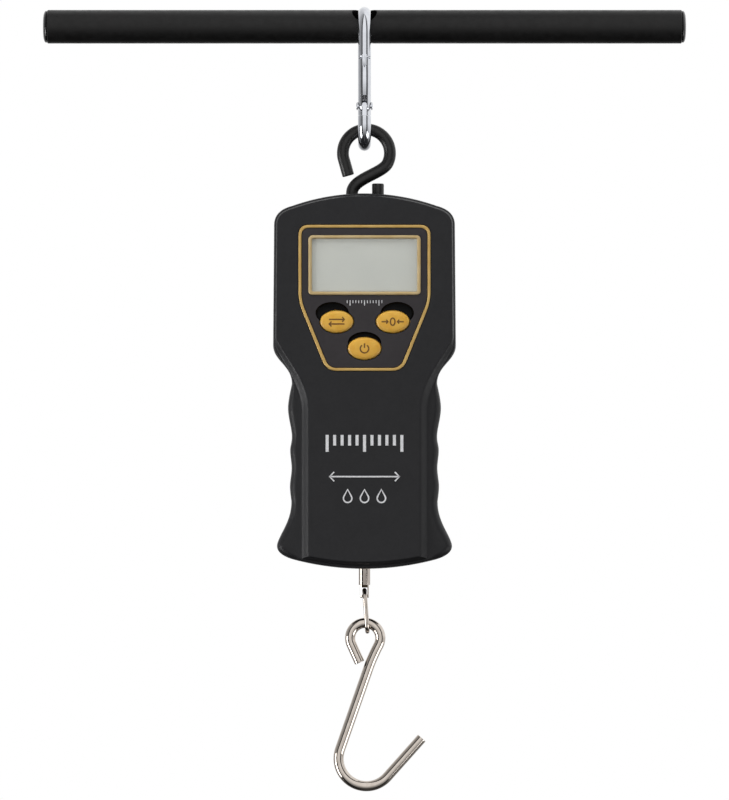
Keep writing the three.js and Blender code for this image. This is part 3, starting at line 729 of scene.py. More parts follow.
def painted_steel():
    """Satin black paint: a little orange peel and dust."""
    tones = (9, 4, (11, 11, 11), (18, 17, 17))
    bumps = [(1.1, 3, 0.05, 0.5), (0.25, 3, 0.01, 0.4)]
    return patchy(
        "bar_paint", (14, 13, 13), 0.42, tones, (3, 0.34, 0.46), bumps, Specular_IOR_Level=0.25
    )


def gloss_plastic():
    tones = (4, 3, (15, 15, 16), (24, 24, 25))
    return patchy(
        "plug_plastic", (18, 18, 19), 0.22, tones, (2.5, 0.16, 0.3), [(0.8, 3, 0.01, 0.4)]
    )


def vinyl_coating():
    """The S-hook's dipped coating: thick, slightly uneven and softly shining."""
    tones = (5, 4, (15, 15, 15), (22, 21, 21))
    bumps = [(2.4, 3, 0.12, 0.35), (0.35, 3, 0.01, 0.4)]
    return patchy(
        "hook_coating", (18, 18, 18), 0.36, tones, (2, 0.3, 0.44), bumps, Specular_IOR_Level=0.35
    )


def moulded_plastic():
    """Black ABS with a fine spark-eroded grain, paler along its edges: partly rubbed wear, partly a
    painted edge highlight.
    """
    tones = (6, 5, (21, 21, 23), (28, 28, 30))
    bumps = [(0.45, 2, 0.035, 0.6), (0.16, 1, 0.012, 0.5)]
    look = patchy(
        "case_plastic", (24, 24, 26), 0.46, tones, (1.2, 0.38, 0.5), bumps, Specular_IOR_Level=0.25
    )
    # Paler convex edges: partly wear, partly a painted edge highlight
    wear_and_highlight(look, 0.15, srgb(74, 75, 79))
    return look


def scoop_painted_shade():
    """The same plastic, polished and painted deep black as shade inside the finger scoops and key
    wells.
    """
    tones = (2, 3, (4, 4, 5), (9, 9, 10))
    bumps = [(0.4, 3, 0.01, 0.4)]
    return patchy(
        "scoop_painted_shade", (6, 6, 7), 0.25, tones, bumps=bumps, Specular_IOR_Level=0.08
    )


def panel_film():
    """Printed film: a faint warm grey with a fine texture."""
    tones = (7, 5, (41, 38, 40), (48, 45, 47))
    bumps = [(0.3, 2, 0.012, 0.6)]
    return patchy(
        "panel_film", (44, 41, 43), 0.5, tones, (1.5, 0.42, 0.56), bumps, Specular_IOR_Level=0.25
    )


def gold_ink():
    tones = (5, 3, (170, 132, 62), (203, 173, 108))
    bumps = [(0.3, 3, 0.01, 0.5)]
    return patchy(
        "gold_ink", (190, 155, 85), 0.42, tones, (1, 0.34, 0.5), bumps, Metallic=0.35
    )


def bezel_gold():
    """The display's frame is a paler, more sandy gold than the line."""
    tones = (5, 3, (172, 142, 84), (194, 176, 138))
    bumps = [(0.3, 3, 0.01, 0.5)]
    return patchy(
        "bezel_gold", (184, 160, 112), 0.45, tones, (1, 0.38, 0.52), bumps, Metallic=0.25
    )


def ink(name, colour, roughness, size, dark, light):
    """Screen printing: slightly patchy, with a fine tooth."""
    bumps = [(0.2, 3, 0.008, 0.6)]
    return patchy(name, colour, roughness, (size, 2, dark, light), bumps=bumps)


def key_plastic():
    """Mustard keys: cloudy between two yellows, with a fine grain."""
    tones = (3, 4, (206, 146, 28), (222, 178, 84))
    bumps = [(0.3, 3, 0.012, 0.5)]
    return patchy(
        "key_yellow", (213, 160, 60), 0.45, tones, (1, 0.36, 0.52), bumps, Subsurface_Weight=0.05
    )


def display_glass():
    """The window: nearly clear plastic with a soft sheen."""
    look = new_look("window_clear", srgb(226, 228, 222), 0.12, Alpha=0.16)
    gloss(look, 8, 0.08, 0.2)
    relief(look, noise(look, 6), 0.01, 0.3)
    return look


def display_grey():
    """The blank liquid crystal display: a slightly cloudy grey polariser."""
    tones = (16, 2, (192, 195, 190), (206, 207, 200))
    bumps = [(0.12, 1, 0.002, 0.5)]
    return patchy("lcd_grey", (197, 200, 194), 0.5, tones, (3, 0.4, 0.6), bumps)


def bright_metal(name, colour, dull, low, high):
    """Plated metal: clear reflections, faint drawn lines and dull spots."""
    tones = (1.6, 4, dull, colour)
    look = patchy(name, colour, low, tones, (1.2, low, high), Metallic=1)
    relief(look, noise(look, 0.8, 2, (1, 1, 0.12)), 0.004, 0.15)
    return look


def brushed_aluminium():
    tones = (2.5, 4, (158, 161, 165), (192, 194, 197))
    brushed = (1, 1, 0.05)
    look = patchy(
        "aluminium", (176, 179, 182), 0.38, tones, (0.8, 0.3, 0.48), stretch=brushed, Metallic=1
    )
    relief(look, noise(look, 0.25, 2, (1, 1, 0.04)), 0.01, 0.6)
    return look


def soft_rubber():
    tones = (1.5, 4, (20, 20, 20), (36, 36, 35))
    return patchy("rubber", (26, 26, 26), 0.85, tones, bumps=[(0.3, 3, 0.03, 0.6)])


def switch_plastic():
    tones = (1.2, 4, (22, 22, 22), (34, 34, 34))
    return patchy("switch_black", (22, 22, 22), 0.45, tones, bumps=[(0.2, 3, 0.01, 0.5)])


def gauge_film():
    """Copper coloured foil with lines along it."""
    tones = (0.4, 2, (150, 96, 34), (214, 172, 96))
    return patchy(
        "gauge_film",
        (190, 140, 60),
        0.35,
        tones,
        bumps=[(0.3, 3, 0.01, 0.5)],
        stretch=(1, 1, 0.1),
        Metallic=0.2,
    )


def board_lacquer():
    """Green solder mask over copper runs, which show as paler bands."""
    look = new_look("board_green", srgb(28, 92, 54), 0.35)
    links = look.node_tree.links
    place = add_node(look, "ShaderNodeTexCoord")
    runs = add_node(look, "ShaderNodeTexBrick")
    runs.inputs["Scale"].default_value = 400
    runs.inputs["Color1"].default_value = srgb(20, 76, 44)
    runs.inputs["Color2"].default_value = srgb(26, 88, 52)
    runs.inputs["Mortar"].default_value = srgb(52, 126, 76)
    swing = add_node(look, "ShaderNodeMapping")
    swing.inputs["Rotation"].default_value = (math.pi / 2, 0, 0)
    links.new(place.outputs["Object"], swing.inputs["Vector"])
    links.new(swing.outputs["Vector"], runs.inputs["Vector"])
    links.new(runs.outputs["Color"], shader_of(look).inputs["Base Color"])
    relief(look, runs.outputs["Fac"], 0.03, 0.6)
    return look


def battery_sleeve():
    """A plain two-tone sleeve: a dark body with a copper coloured end."""
    look = new_look("battery_sleeve", srgb(40, 66, 104), 0.28, Metallic=0.3)
    place = add_node(look, "ShaderNodeTexCoord")
    split = add_node(look, "ShaderNodeSeparateXYZ")
    look.node_tree.links.new(place.outputs["Object"], split.inputs["Vector"])
    change = centre_of("battery_left")[1] + 10
    ends = spread(look, split.outputs["Z"], change * MM, (change + 0.3) * MM, 0, 1)
    tint(look, ends, srgb(38, 60, 96), srgb(170, 118, 58))
    relief(look, noise(look, 0.6), 0.006, 0.4)
    return look


# By slot; looks that share a slot with another follow below
LOOKS = {
    "bar_paint": painted_steel(),
    "plug_plastic": gloss_plastic(),
    "zinc_plate": bright_metal("zinc_plate", (214, 216, 220), (186, 189, 196), 0.05, 0.12),
    "dark_steel": bright_metal("dark_steel", (120, 120, 122), (92, 92, 95), 0.28, 0.42),
    "hook_coating": vinyl_coating(),
    "case_plastic": moulded_plastic(),
    "rubber": soft_rubber(),
    "panel_film": panel_film(),
    "gold_ink": gold_ink(),
    "window_clear": display_glass(),
    "lcd_grey": display_grey(),
    "switch_black": switch_plastic(),
    "board_green": board_lacquer(),
    "aluminium": brushed_aluminium(),
    "gauge_film": gauge_film(),
    "nickel_plate": bright_metal("nickel_plate", (206, 198, 190), (170, 160, 150), 0.05, 0.12),
    "battery_sleeve": battery_sleeve(),
    "key_yellow": key_plastic(),
}
BEZEL_GOLD = bezel_gold()
# Painted shade: a dull dark brown metal for the slotted block at the rod's lower end, in place of the
# shade in its slot and on its flats
ROD_BLOCK_SHADE = bright_metal("rod_block_shade", (84, 74, 60), (50, 43, 34), 0.6, 0.8)
# Painted shade: a deep black for the faces inside the finger scoops and the key wells
SCOOP_SHADE_LOOK = scoop_painted_shade()
WHITE_INK = ink("white_ink", (216, 216, 218), 0.55, 0.5, (176, 177, 180), (238, 238, 240))
BROWN_INK = ink("brown_ink", (96, 62, 14), 0.5, 0.6, (80, 50, 10), (118, 80, 24))

# ---------------------------------------------------------------- handle


def make_handle():
    """The bar: a tube with softened ends and the slanting hole for the snap hook."""
    inner = BAR_RADIUS - BAR_WALL
    right_end = [
        (BAR_RADIUS, BAR_HALF - BAR_EDGE),
        (BAR_RADIUS - BAR_EDGE, BAR_HALF),
        (inner + BAR_EDGE, BAR_HALF),
        (inner, BAR_HALF - BAR_EDGE),
    ]
    left_end = [(radius, -along) for radius, along in reversed(right_end)]
    tube = turned("handle_bar", left_end + right_end, "X", sides=128, closed=True, shift_y=0)
    past = BAR_RADIUS + 5
    drill = rod("drill", BAR_HOLE_RADIUS, "Z", -past, past, sides=96, shift_y=0)
    drill.data.transform(Matrix.Rotation(BAR_HOLE_TILT, 4, "X"))
    cut(tube, drill)
    soften(tube, 0.35, 45)
    finish_piece(smooth(tube), "handle", "bar_paint", "handle_tube")


def make_plug(side, node):
    """A stem inside the tube, a shadow ring at its mouth and a low domed cap."""
    stem = BAR_RADIUS - BAR_WALL - GAP
    start = BAR_HALF + GAP / 2
    end = PLUG_HIGH.x
    lead = 0.5
    profile = [
        (stem - lead, PLUG_LOW.x),
        (stem, PLUG_LOW.x + lead),
        (stem, start),
        (BAR_RADIUS - 0.5, start),
    ]
    rim = BAR_RADIUS - 0.25
    flatness = 0.45
    for angle in quarter(12, 1):
        profile.append((rim * math.cos(angle) ** flatness, start + (end - start) * math.sin(angle)))
    plug = turned("handle_end_" + node.split("_")[-1], profile, "X", sides=96, shift_y=0)
    if side < 0:
        plug.data.transform(Matrix.Rotation(math.pi, 4, "Z"))
    finish_piece(smooth(plug, 50), "handle", "plug_plastic", node)


# ---------------------------------------------------------------- snap hook


def in_yz(points):
    """A flat path that runs in the plane of the snap hook and the link."""
    return [(0, y, z) for y, z in points]


def in_xz(points):
    """A flat path that runs in the plane of the S-hook and the load hook."""
    return [(x, 0, z) for x, z in points]


def make_snap_hook():
    """The bent wire, with a tongue at its nose and a round-topped one for the gate's fork."""
    path = line((-SNAP_BEND, GATE_TOP + GAP), (-SNAP_BEND, SNAP_TOP_CENTRE), 12)
    path += arc((0, SNAP_TOP_CENTRE), SNAP_BEND, 180, 0, 60)
    path += line((SNAP_BEND, SNAP_TOP_CENTRE), (SNAP_BEND, SNAP_BOTTOM_CENTRE), 24)
    path += arc((0, SNAP_BOTTOM_CENTRE), SNAP_BEND, 0, -180, 60)
    path += stroke((-SNAP_BEND, SNAP_BOTTOM_CENTRE), (-SNAP_BEND, GATE_LOW.z - 1), 6)
    body = wire("snap_hook_wire", in_yz(path), (1, 0, 0), SNAP_WIRE, 0.45, 48)
    half = TONGUE / 2
    nose = block(
        "nose",
        (-half, -SNAP_BEND + NOSE_LOW[0], GATE_TOP + NOSE_LOW[1]),
        (half, -SNAP_BEND + NOSE_HIGH[0], GATE_TOP + NOSE_HIGH[1]),
    )
    stand = block(
        "stand",
        (-half, -SNAP_BEND - TONGUE_REACH, GATE_LOW.z - 2),
        (half, -SNAP_BEND + TONGUE_REACH, GATE_PIVOT),
    )
    pivot = (0, -SNAP_BEND, GATE_PIVOT)
    top = rod("top", TONGUE_REACH, "X", -half, half, pivot)
    hole = rod("hole", RIVET_RADIUS + GAP, "X", -3, 3, pivot)
    join(body, nose, stand, top)
    cut(body, hole)
    soften(body, 0.15, 50, 2)
    finish_piece(smooth(body), "snap_hook", "zinc_plate", "snap_hook_body")


def make_gate():
    """A round bar with a round foot, forked at both ends and bored for its plunger."""
    profile = []
    for angle in quarter(12, 1):
        profile.append((SNAP_WIRE * math.sin(angle), GATE_PIVOT - SNAP_WIRE * math.cos(angle)))
    profile += [(SNAP_WIRE, GATE_TOP - 0.4), (SNAP_WIRE - 0.4, GATE_TOP)]
    gate = turned("gate_bar", profile, "Z", (0, -SNAP_BEND, 0), 72)
    half = GATE_FORK / 2
    front = -SNAP_BEND - 4
    back = -SNAP_BEND + 4
    fork = block("fork", (-half, front, GATE_PIVOT - 4), (half, back, GATE_WINDOW_TOP))
    mouth = block("mouth", (-half, front, GATE_TOP - 4), (half, back, GATE_TOP + 1))
    bore = rod("bore", GATE_BORE, "Z", GATE_WINDOW_TOP - 1, GATE_WINDOW_TOP + 8, (0, -SNAP_BEND, 0))
    hole = rod("hole", RIVET_RADIUS + GAP, "X", -4, 4, (0, -SNAP_BEND, GATE_PIVOT))
    cut(gate, fork, mouth, bore, hole)
    soften(gate, 0.15, 50, 2)
    finish_piece(smooth(gate), "gate", "zinc_plate", "snap_hook_gate")


def make_rivet():
    """A peened rivet: its two heads are spread and slightly crowned."""
    head = SNAP_WIRE + 0.15
    crown = [(1.62, 0.02), (1.66, 0.2), (1.5, 0.4), (1.1, 0.54), (0.5, 0.6), (0, 0.6)]
    half = [(RIVET_RADIUS, head)] + [(radius, head + height) for radius, height in crown]
    profile = [(radius, -height) for radius, height in reversed(half)] + half
    rivet = turned("gate_rivet", profile, "X", (0, -SNAP_BEND, GATE_PIVOT), 48)
    body = frame["nodes"]["snap_hook_rivet"]["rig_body"]
    finish_piece(smooth(rivet, 60), body, "zinc_plate", "snap_hook_rivet")


# ---------------------------------------------------------------- S-hook


def make_s_hook():
    """The open loop over the case, one leg down, the bend inside the case and a stub back up."""
    x, z, radius = S_LOOP
    start, end = S_LOOP_ANGLES
    bend_x = sum(S_LEGS) / 2
    bend_radius = (S_LEGS[1] - S_LEGS[0]) / 2
    opening = on_oval((x, z), radius, radius, start)
    leave = on_oval((x, z), radius, radius, end)
    entry = (S_LEGS[0], S_LEG_TOP)
    above_entry = (S_LEGS[0], S_LEG_TOP + 6)
    path = line(S_ARM_END, opening, 12)
    path += arc((x, z), radius, start, end, 90)
    path += bezier([leave, (leave[0] - 2.1, leave[1] - 4.5), above_entry, entry], 40)
    path += line(entry, (S_LEGS[0], S_BEND_Z), 8)
    path += arc((bend_x, S_BEND_Z), bend_radius, 180, 360, 40)
    path += stroke((S_LEGS[1], S_BEND_Z), (S_LEGS[1], S_STUB_TOP), 10)
    hook = wire("s_hook_wire", in_xz(path), (0, 1, 0), S_WIRE, 0.55, 40)
    finish_piece(smooth(hook, 60), "scale", "hook_coating", "s_hook")


# ---------------------------------------------------------------- case outlines

CROWN_RADIUS = 90
CROWN_HALF = 30
CROWN_CORNER = [(37.6, -77), (37.6, -83)]
SHOULDER_Z = -133
FOOT_RADIUS = 115
FOOT_HALF = 29
WAIST = 30.2
GRIP_KNOTS = [
    (WAIST, -149),
    (31.8, -159.2),
    (30.2, -170.4),
    (30.9, -176.7),
    (30.3, -184.2),
    (31, -191.7),
    (30.4, -198),
]
FLARE = [(30.4, -206), (34.7, -210.5), (36.2, -215.3)]
TOE = [(37.2, -218.6), (34.2, -220.9)]
# The raised panel's shoulder at the foot and at the top of its sloping edge
SHOULDER_FOOT = [(37.0, -133.4), (33.9, -141), (26.5, -149.5), (26.3, -160)]
SHOULDER_TOP = [(36.0, -131.6), (31.5, -139.5), (23.6, -148), (23.1, -159)]
PANEL_TOE_Z = -214
# How many points each stretch of the outline has
COUNTS = {
    "crown": 26,
    "corner": 14,
    "side": 16,
    "shoulder": 26,
    "grip": 10,
    "flare": 18,
    "toe": 16,
    "foot": 24,
}


def case_half():
    """Right half of the outline: crown, head, shoulder, three finger swells and the flared foot."""
    crown_end = math.degrees(math.asin(CROWN_HALF / CROWN_RADIUS))
    crown_low = CASE_TOP - CROWN_RADIUS * (1 - math.cos(math.radians(crown_end)))
    foot_end = math.degrees(math.asin(FOOT_HALF / FOOT_RADIUS))
    foot_rise = FOOT_RADIUS * (1 - math.cos(math.radians(foot_end)))
    toe = (FOOT_HALF, CASE_BOTTOM + foot_rise)
    half = arc((0, CASE_TOP - CROWN_RADIUS), CROWN_RADIUS, 90, 90 - crown_end, COUNTS["crown"])
    half += bezier([(CROWN_HALF, crown_low), *CROWN_CORNER], COUNTS["corner"])
    half += line(CROWN_CORNER[-1], (CASE_HALF, SHOULDER_Z), COUNTS["side"])
    shoulder = [(CASE_HALF, SHOULDER_Z), (CASE_HALF, -139.5), (WAIST, -141.5), GRIP_KNOTS[0]]
    half += bezier(shoulder, COUNTS["shoulder"])
    half += spline(GRIP_KNOTS, COUNTS["grip"])
    half += bezier([GRIP_KNOTS[-1], *FLARE], COUNTS["flare"])
    half += bezier([FLARE[-1], *TOE, toe], COUNTS["toe"])
    half += arc((0, CASE_BOTTOM + FOOT_RADIUS), FOOT_RADIUS, -90 + foot_end, -90, COUNTS["foot"])
    half.append((0, CASE_BOTTOM))
    return half


def panel_ring(rise):
    """An outline on the raised panel's sloping edge, point for point beside the case's own.

    Rise is 0 at the foot of the slope, 1 at its top, and more lies further in on the panel.
    """
    width = 26.3 - 3.2 * rise
    head_rim = 0.6 + 0.8 * rise
    foot_rim = 1.2 + 1.8 * rise
    shoulder = [Vector(a).lerp(Vector(b), rise) for a, b in zip(SHOULDER_FOOT, SHOULDER_TOP)]
    head = COUNTS["crown"] + COUNTS["corner"] + COUNTS["side"]
    half = inset(mirrored(case_half()), head_rim)[:head]
    radius = FOOT_RADIUS - foot_rim
    foot_end = math.degrees(math.asin(width / radius))
    corner = (width, CASE_BOTTOM + FOOT_RADIUS - radius * math.cos(math.radians(foot_end)))
    half += bezier(shoulder, COUNTS["shoulder"] + COUNTS["grip"])
    grip_end = (width, GRIP_KNOTS[-1][1])
    flare_end = (width, PANEL_TOE_Z)
    half += line(shoulder[-1], grip_end, COUNTS["grip"] * (len(GRIP_KNOTS) - 2))
    half += line(grip_end, flare_end, COUNTS["flare"])
    half += line(flare_end, corner, COUNTS["toe"])
    half += arc((0, CASE_BOTTOM + FOOT_RADIUS), radius, -90 + foot_end, -90, COUNTS["foot"])
    half.append((0, CASE_BOTTOM + foot_rim))
    return mirrored(half)


def label_outline(grow, radius):
    """The six-sided outline of the label; grow widens it, a little less along the slopes."""
    half = TRIM_HIGH.x + grow
    foot_half = TRIM_FOOT_HALF + 0.8 * grow
    foot = TRIM_LOW.z - grow
    top = TRIM_HIGH.z + grow
    waist = TRIM_WAIST - 0.2 * grow
    corners = [
        (-foot_half, foot),
        (foot_half, foot),
        (half, waist),
        (half, top),
        (-half, top),
        (-half, waist),
    ]
    return rounded_polygon(corners, radius, 12)


def scoop(name, centre, grow):
    """A cutter for the finger scoop beside a key: an oval dish."""
    offset = BUTTON_SCOOPS[name]
    place = (centre[0] + offset[0], centre[1] + offset[1])
    outline = ellipse(place, BUTTON_HALF[0] + grow, BUTTON_HALF[1] + grow)
    rings = [
        at_depth(outline, FACE_FRONT - 1),
        at_depth(outline, FACE_FRONT + 0.6 * SCOOP_DEPTH),
        at_depth(inset(outline, 0.25), FACE_FRONT + 0.85 * SCOOP_DEPTH),
        at_depth(inset(outline, 0.8), FACE_FRONT + SCOOP_DEPTH),
    ]
    return loft("scoop", rings)


def case_mouths():
    """Cutters for the S-hook's two legs through the crown and the rod's bush through the foot."""
    legs = [rod("leg", LEG_BORE, "Z", CASE_TOP - 7, CASE_TOP + 2, (x, 0, 0)) for x in S_LEGS]
    return legs + [rod("foot", FOOT_BORE, "Z", CASE_BOTTOM - 2, CASE_BOTTOM + 6)]


# ---------------------------------------------------------------- case


def front_edges(outline):
    """How far each outline point moves in over the rounded edge, clear of the raised panel."""
    panel_foot = panel_ring(0)
    reach = [min(math.dist(point, other) for other in panel_foot) for point in outline]
    free = room(outline, SHELL_EDGE)
    edges = evened([min(most, 0.7 * distance) for most, distance in zip(free, reach)])
    return [min(edge, 0.8 * distance) for edge, distance in zip(edges, reach)]


def front_shell(outline):
    """The solid of the front shell: rounded edge, side grips and the raised panel's slope."""
    edge_depth = 3.6
    slope_steps = 8
    rings = [
        at_depth(inset(outline, SEAM_EDGE[0]), -GAP / 2),
        at_depth(outline, -GAP / 2 - SEAM_EDGE[1]),
        at_depth(outline, (GRIP_FRONT + edge_depth) / 2),
    ]
    rings += rounded_rings(outline, front_edges(outline), GRIP_FRONT + edge_depth, GRIP_FRONT, 8)
    for step in range(slope_steps + 1):
        t = step / slope_steps
        eased = 0.5 * t + 0.5 * t * t * (3 - 2 * t)
        rings.append(at_depth(panel_ring(t), GRIP_FRONT + (FACE_FRONT - GRIP_FRONT) * eased))
    rings.append(at_depth(panel_ring(1.2), FACE_FRONT))
    return loft("front_case_shell", rings)


def make_front_case():
    """The front shell, hollow, with the label's recess, the display's opening and the key wells."""
    outline = mirrored(case_half())
    case = front_shell(outline)
    hollow = prism("hollow", inset(outline, room(outline, CASE_WALL)), GRIP_FRONT + CASE_WALL, 1)
    behind_face = prism("behind", panel_ring(1.45), FACE_FRONT + CASE_WALL, -6)
    label = label_outline(GAP, TRIM_CORNER + 0.1)
    recess = prism("recess", label, FACE_FRONT - 1, FACE_FRONT + PANEL_RECESS)
    display = block(
        "display",
        (-BEZEL_HIGH.x + BEZEL_WIDTH, FACE_FRONT - 1, BEZEL_LOW.z + BEZEL_WIDTH),
        (BEZEL_HIGH.x - BEZEL_WIDTH, DISPLAY_BACK, BEZEL_HIGH.z - BEZEL_WIDTH),
    )
    cutters = [hollow, behind_face, recess, display]
    for name, centre in BUTTONS.items():
        well = ellipse(centre, BUTTON_HALF[0] + WELL_GAP, BUTTON_HALF[1] + WELL_GAP)
        cutters.append(prism("well", well, FACE_FRONT - 1, DISPLAY_BACK))
        cutters.append(scoop(name, centre, 0))
    cut(case, *cutters, *case_mouths())
    smooth(case, 50)
    finish_piece(case, "scale", "case_plastic", "front_case")
    # The faces inside the scoops and wells get the painted shade
    paint_scoop_shade(case)


def paint_scoop_shade(case):
    """Painted shade: the deep black look on the faces inside the finger scoops and the key wells."""
    case.data.materials.append(SCOOP_SHADE_LOOK)
    front = FACE_FRONT + PANEL_RECESS + 0.02
    back = FACE_FRONT + CASE_WALL + 0.1
    for face in case.data.polygons:
        x, y, z = face.center / MM
        near = any(math.dist((x, z), centre) < SCOOP_REACH for centre in BUTTONS.values())
        if near and front < y - HANG_Y < back:
            face.material_index = 1


def rear_shell(outline):
    """The solid of the rear shell: a flat back with a rounded edge."""
    edges = room(outline, SHELL_EDGE)
    rings = [
        at_depth(inset(outline, SEAM_EDGE[0]), GAP / 2),
        at_depth(outline, GAP / 2 + SEAM_EDGE[1]),
        at_depth(outline, CASE_REAR / 2),
    ]
    rings += rounded_rings(outline, edges, CASE_REAR - SHELL_EDGE, CASE_REAR, 8)
    rings.append(at_depth(inset(outline, [edge + 0.3 for edge in edges]), CASE_REAR))
    return loft("rear_case_shell", rings)


def make_rear_case():
    """The rear shell, hollow, with the battery bay, its screw post, the screw holes and ribs."""
    outline = mirrored(case_half())
    case = rear_shell(outline)
    cut(case, prism("hollow", inset(outline, room(outline, CASE_WALL)), -1, CASE_REAR - CASE_WALL))
    bay_outer = block(
        "bay_outer",
        (-BAY_HALF - BAY_WALL, BAY_FLOOR - BAY_WALL, BAY_BOTTOM - BAY_WALL),
        (BAY_HALF + BAY_WALL, CASE_REAR - 2.5, BAY_TOP + BAY_WALL),
    )
    join(case, bay_outer)
    bay = block("bay", (-BAY_HALF, BAY_FLOOR, BAY_BOTTOM), (BAY_HALF, CASE_REAR + 1, BAY_TOP))
    seat_outline = rounded_rectangle(COVER_HIGH.x + GAP, COVER_LOW.z - GAP, COVER_HIGH.z + GAP, 3.3)
    seat = prism("seat", seat_outline, CASE_REAR - COVER_THICKNESS - 0.1, CASE_REAR + 1)
    cut(case, bay, seat)
    post_end = CASE_REAR - COVER_THICKNESS - GAP
    join(case, rod("post", POST_RADIUS, "Y", BAY_FLOOR - 0.5, post_end, COVER_SCREW))
    cutters = [rod("pilot", PILOT_RADIUS, "Y", BAY_FLOOR + BAY_WALL, CASE_REAR, COVER_SCREW)]
    for name in SCREW_NAMES:
        x, z = centre_of(name)
        cutters.append(rod("sink", SCREW_SINK, "Y", CASE_REAR - 8, CASE_REAR + 1, (x, 0, z)))
    cut(case, *cutters, *rear_ribs(), *case_mouths())
    smooth(case, 50)
    finish_piece(case, "scale", "case_plastic", "rear_case")


def rear_ribs():
    """Cutters for the shallow grip lines across the back of the head."""
    ribs = []
    for number in range(5):
        z = -112 - 6 * number
        outline = rounded_rectangle(19 - 1.2 * number, z - 0.9, z + 0.9, 0.85)
        ribs.append(prism("rib", outline, CASE_REAR - 0.7, CASE_REAR + 1))
    return ribs


def make_battery_cover():
    """A plate with rounded outer edges, seven thumb lines and the sunk hole for its screw."""
    outline = rounded_rectangle(COVER_HIGH.x, COVER_LOW.z, COVER_HIGH.z, 3)
    edge = 0.5
    rings = [at_depth(outline, CASE_REAR - COVER_THICKNESS)]
    rings += rounded_rings(outline, [edge] * len(outline), CASE_REAR - edge, CASE_REAR, 4)
    cover = loft("battery_door", rings)
    cutters = [
        rod("sink", SCREW_SINK + 0.1, "Y", CASE_REAR - 1.3, CASE_REAR + 1, COVER_SCREW),
        rod("way", PILOT_RADIUS + 0.1, "Y", CASE_REAR - 4, CASE_REAR + 1, COVER_SCREW),
    ]
    for number in range(7):
        z = COVER_HIGH.z - 7 - 2.4 * number
        thumb_line = rounded_rectangle(8, z - 0.6, z + 0.6, 0.55)
        cutters.append(prism("line", thumb_line, CASE_REAR - 0.6, CASE_REAR + 1))
    cut(cover, *cutters)
    finish_piece(smooth(cover), "cover", "case_plastic", "battery_cover")


def make_screw(node, body):
    """A crowned head with a cross recess on a pointed shank with ring-shaped threads, along Y."""
    low, high = mm_box(node)
    x, z = centre_of(node)
    start = low.y - HANG_Y
    end = high.y - HANG_Y
    head = high.x - x
    pitch = 0.9
    profile = [(0, start), (0.7, start + 0.4), (1.4, start + 1.6)]
    threads = int((end - start - 4.4) / pitch)
    for number in range(threads):
        foot = start + 1.7 + pitch * number
        profile += [(1.1, foot), (1.4, foot + 0.35), (1.4, foot + 0.5), (1.1, foot + 0.85)]
    head_height = 1.8 if end - start > LONG_SCREW else 0.9
    flange = end - head_height
    crown = head_height - 0.4
    profile += [(1.35, flange - 0.1), (1.35, flange), (head, flange), (head, end - crown)]
    for angle in quarter(5, 1):
        profile.append((head * math.cos(angle), end - crown * (1 - math.sin(angle))))
    screw = turned(node + "_fine", profile, "Y", (x, 0, z), 40)
    arms = []
    for width, height in (CROSS_ARM, reversed(CROSS_ARM)):
        low_corner = (x - width / 2, end - 0.8, z - height / 2)
        high_corner = (x + width / 2, end + 1, z + height / 2)
        arms.append(block("arm", low_corner, high_corner))
    cut(screw, *arms)
    finish_piece(smooth(screw, 40), body, "dark_steel", node)


# ---------------------------------------------------------------- face


def make_face():
    """The film behind the keys, with its holes, and the gold line round it."""
    panel_outline = label_outline(-TRIM_WIDTH - GAP / 2, TRIM_CORNER - 1)
    panel = prism("face_film", panel_outline, FILM_FRONT, LABEL_BACK, 0.12)
    free = 0.1
    window = rounded_rectangle(BEZEL_HIGH.x + free, BEZEL_LOW.z - free, BEZEL_HIGH.z + free, 2.1)
    cutters = [prism("window", window, FACE_FRONT - 2, FACE_FRONT + 2)]
    for name, centre in BUTTONS.items():
        grow = WELL_GAP + free
        hole = ellipse(centre, BUTTON_HALF[0] + grow, BUTTON_HALF[1] + grow)
        cutters.append(prism("well", hole, FACE_FRONT - 2, FACE_FRONT + 2))
        cutters.append(scoop(name, centre, free / 2))
    cut(panel, *cutters)
    finish_piece(smooth(panel, 40), "scale", "panel_film", "face_panel")
    outer = label_outline(0, TRIM_CORNER)
    inner = label_outline(-TRIM_WIDTH, TRIM_CORNER - 1)
    trim = band("face_gold_line", outer, inner, FACE_FRONT - 0.2, LABEL_BACK, 0.25)
    finish_piece(smooth(trim, 50), "scale", "gold_ink", "face_trim")


def make_display():
    """The sandy gold frame, the clear pane in it and the grey sheet behind the pane."""
    outer = rounded_rectangle(BEZEL_HIGH.x, BEZEL_LOW.z, BEZEL_HIGH.z, 2)
    width = BEZEL_WIDTH
    inner = rounded_rectangle(BEZEL_HIGH.x - width, BEZEL_LOW.z + width, BEZEL_HIGH.z - width, 0.9)
    bezel = band("display_frame", outer, inner, FACE_FRONT - 0.5, LABEL_BACK, 0.45)
    finish_piece(smooth(bezel, 50), "scale", "gold_ink", "display_bezel", look=BEZEL_GOLD)
    low, high = mm_box("display_window")
    pane_outline = inset(inner, 0.03)
    pane_back = high.y - HANG_Y
    pane = prism("display_pane", pane_outline, low.y - HANG_Y, pane_back, 0.1)
    finish_piece(smooth(pane), "scale", "window_clear", "display_window")
    sheet = prism("display_sheet", pane_outline, pane_back + 0.05, pane_back + 0.3)
    finish_piece(smooth(sheet), "scale", "lcd_grey")


def dome(centre):
    """The depth of a key's face as a function of x and z."""
    rise = 1.2

    def depth(x, z):
        out = ((x - centre[0]) / BUTTON_HALF[0]) ** 2 + ((z - centre[1]) / BUTTON_HALF[1]) ** 2
        return BUTTON_FRONT + rise - rise * math.sqrt(max(0.0, 1 - out**2))

    return depth


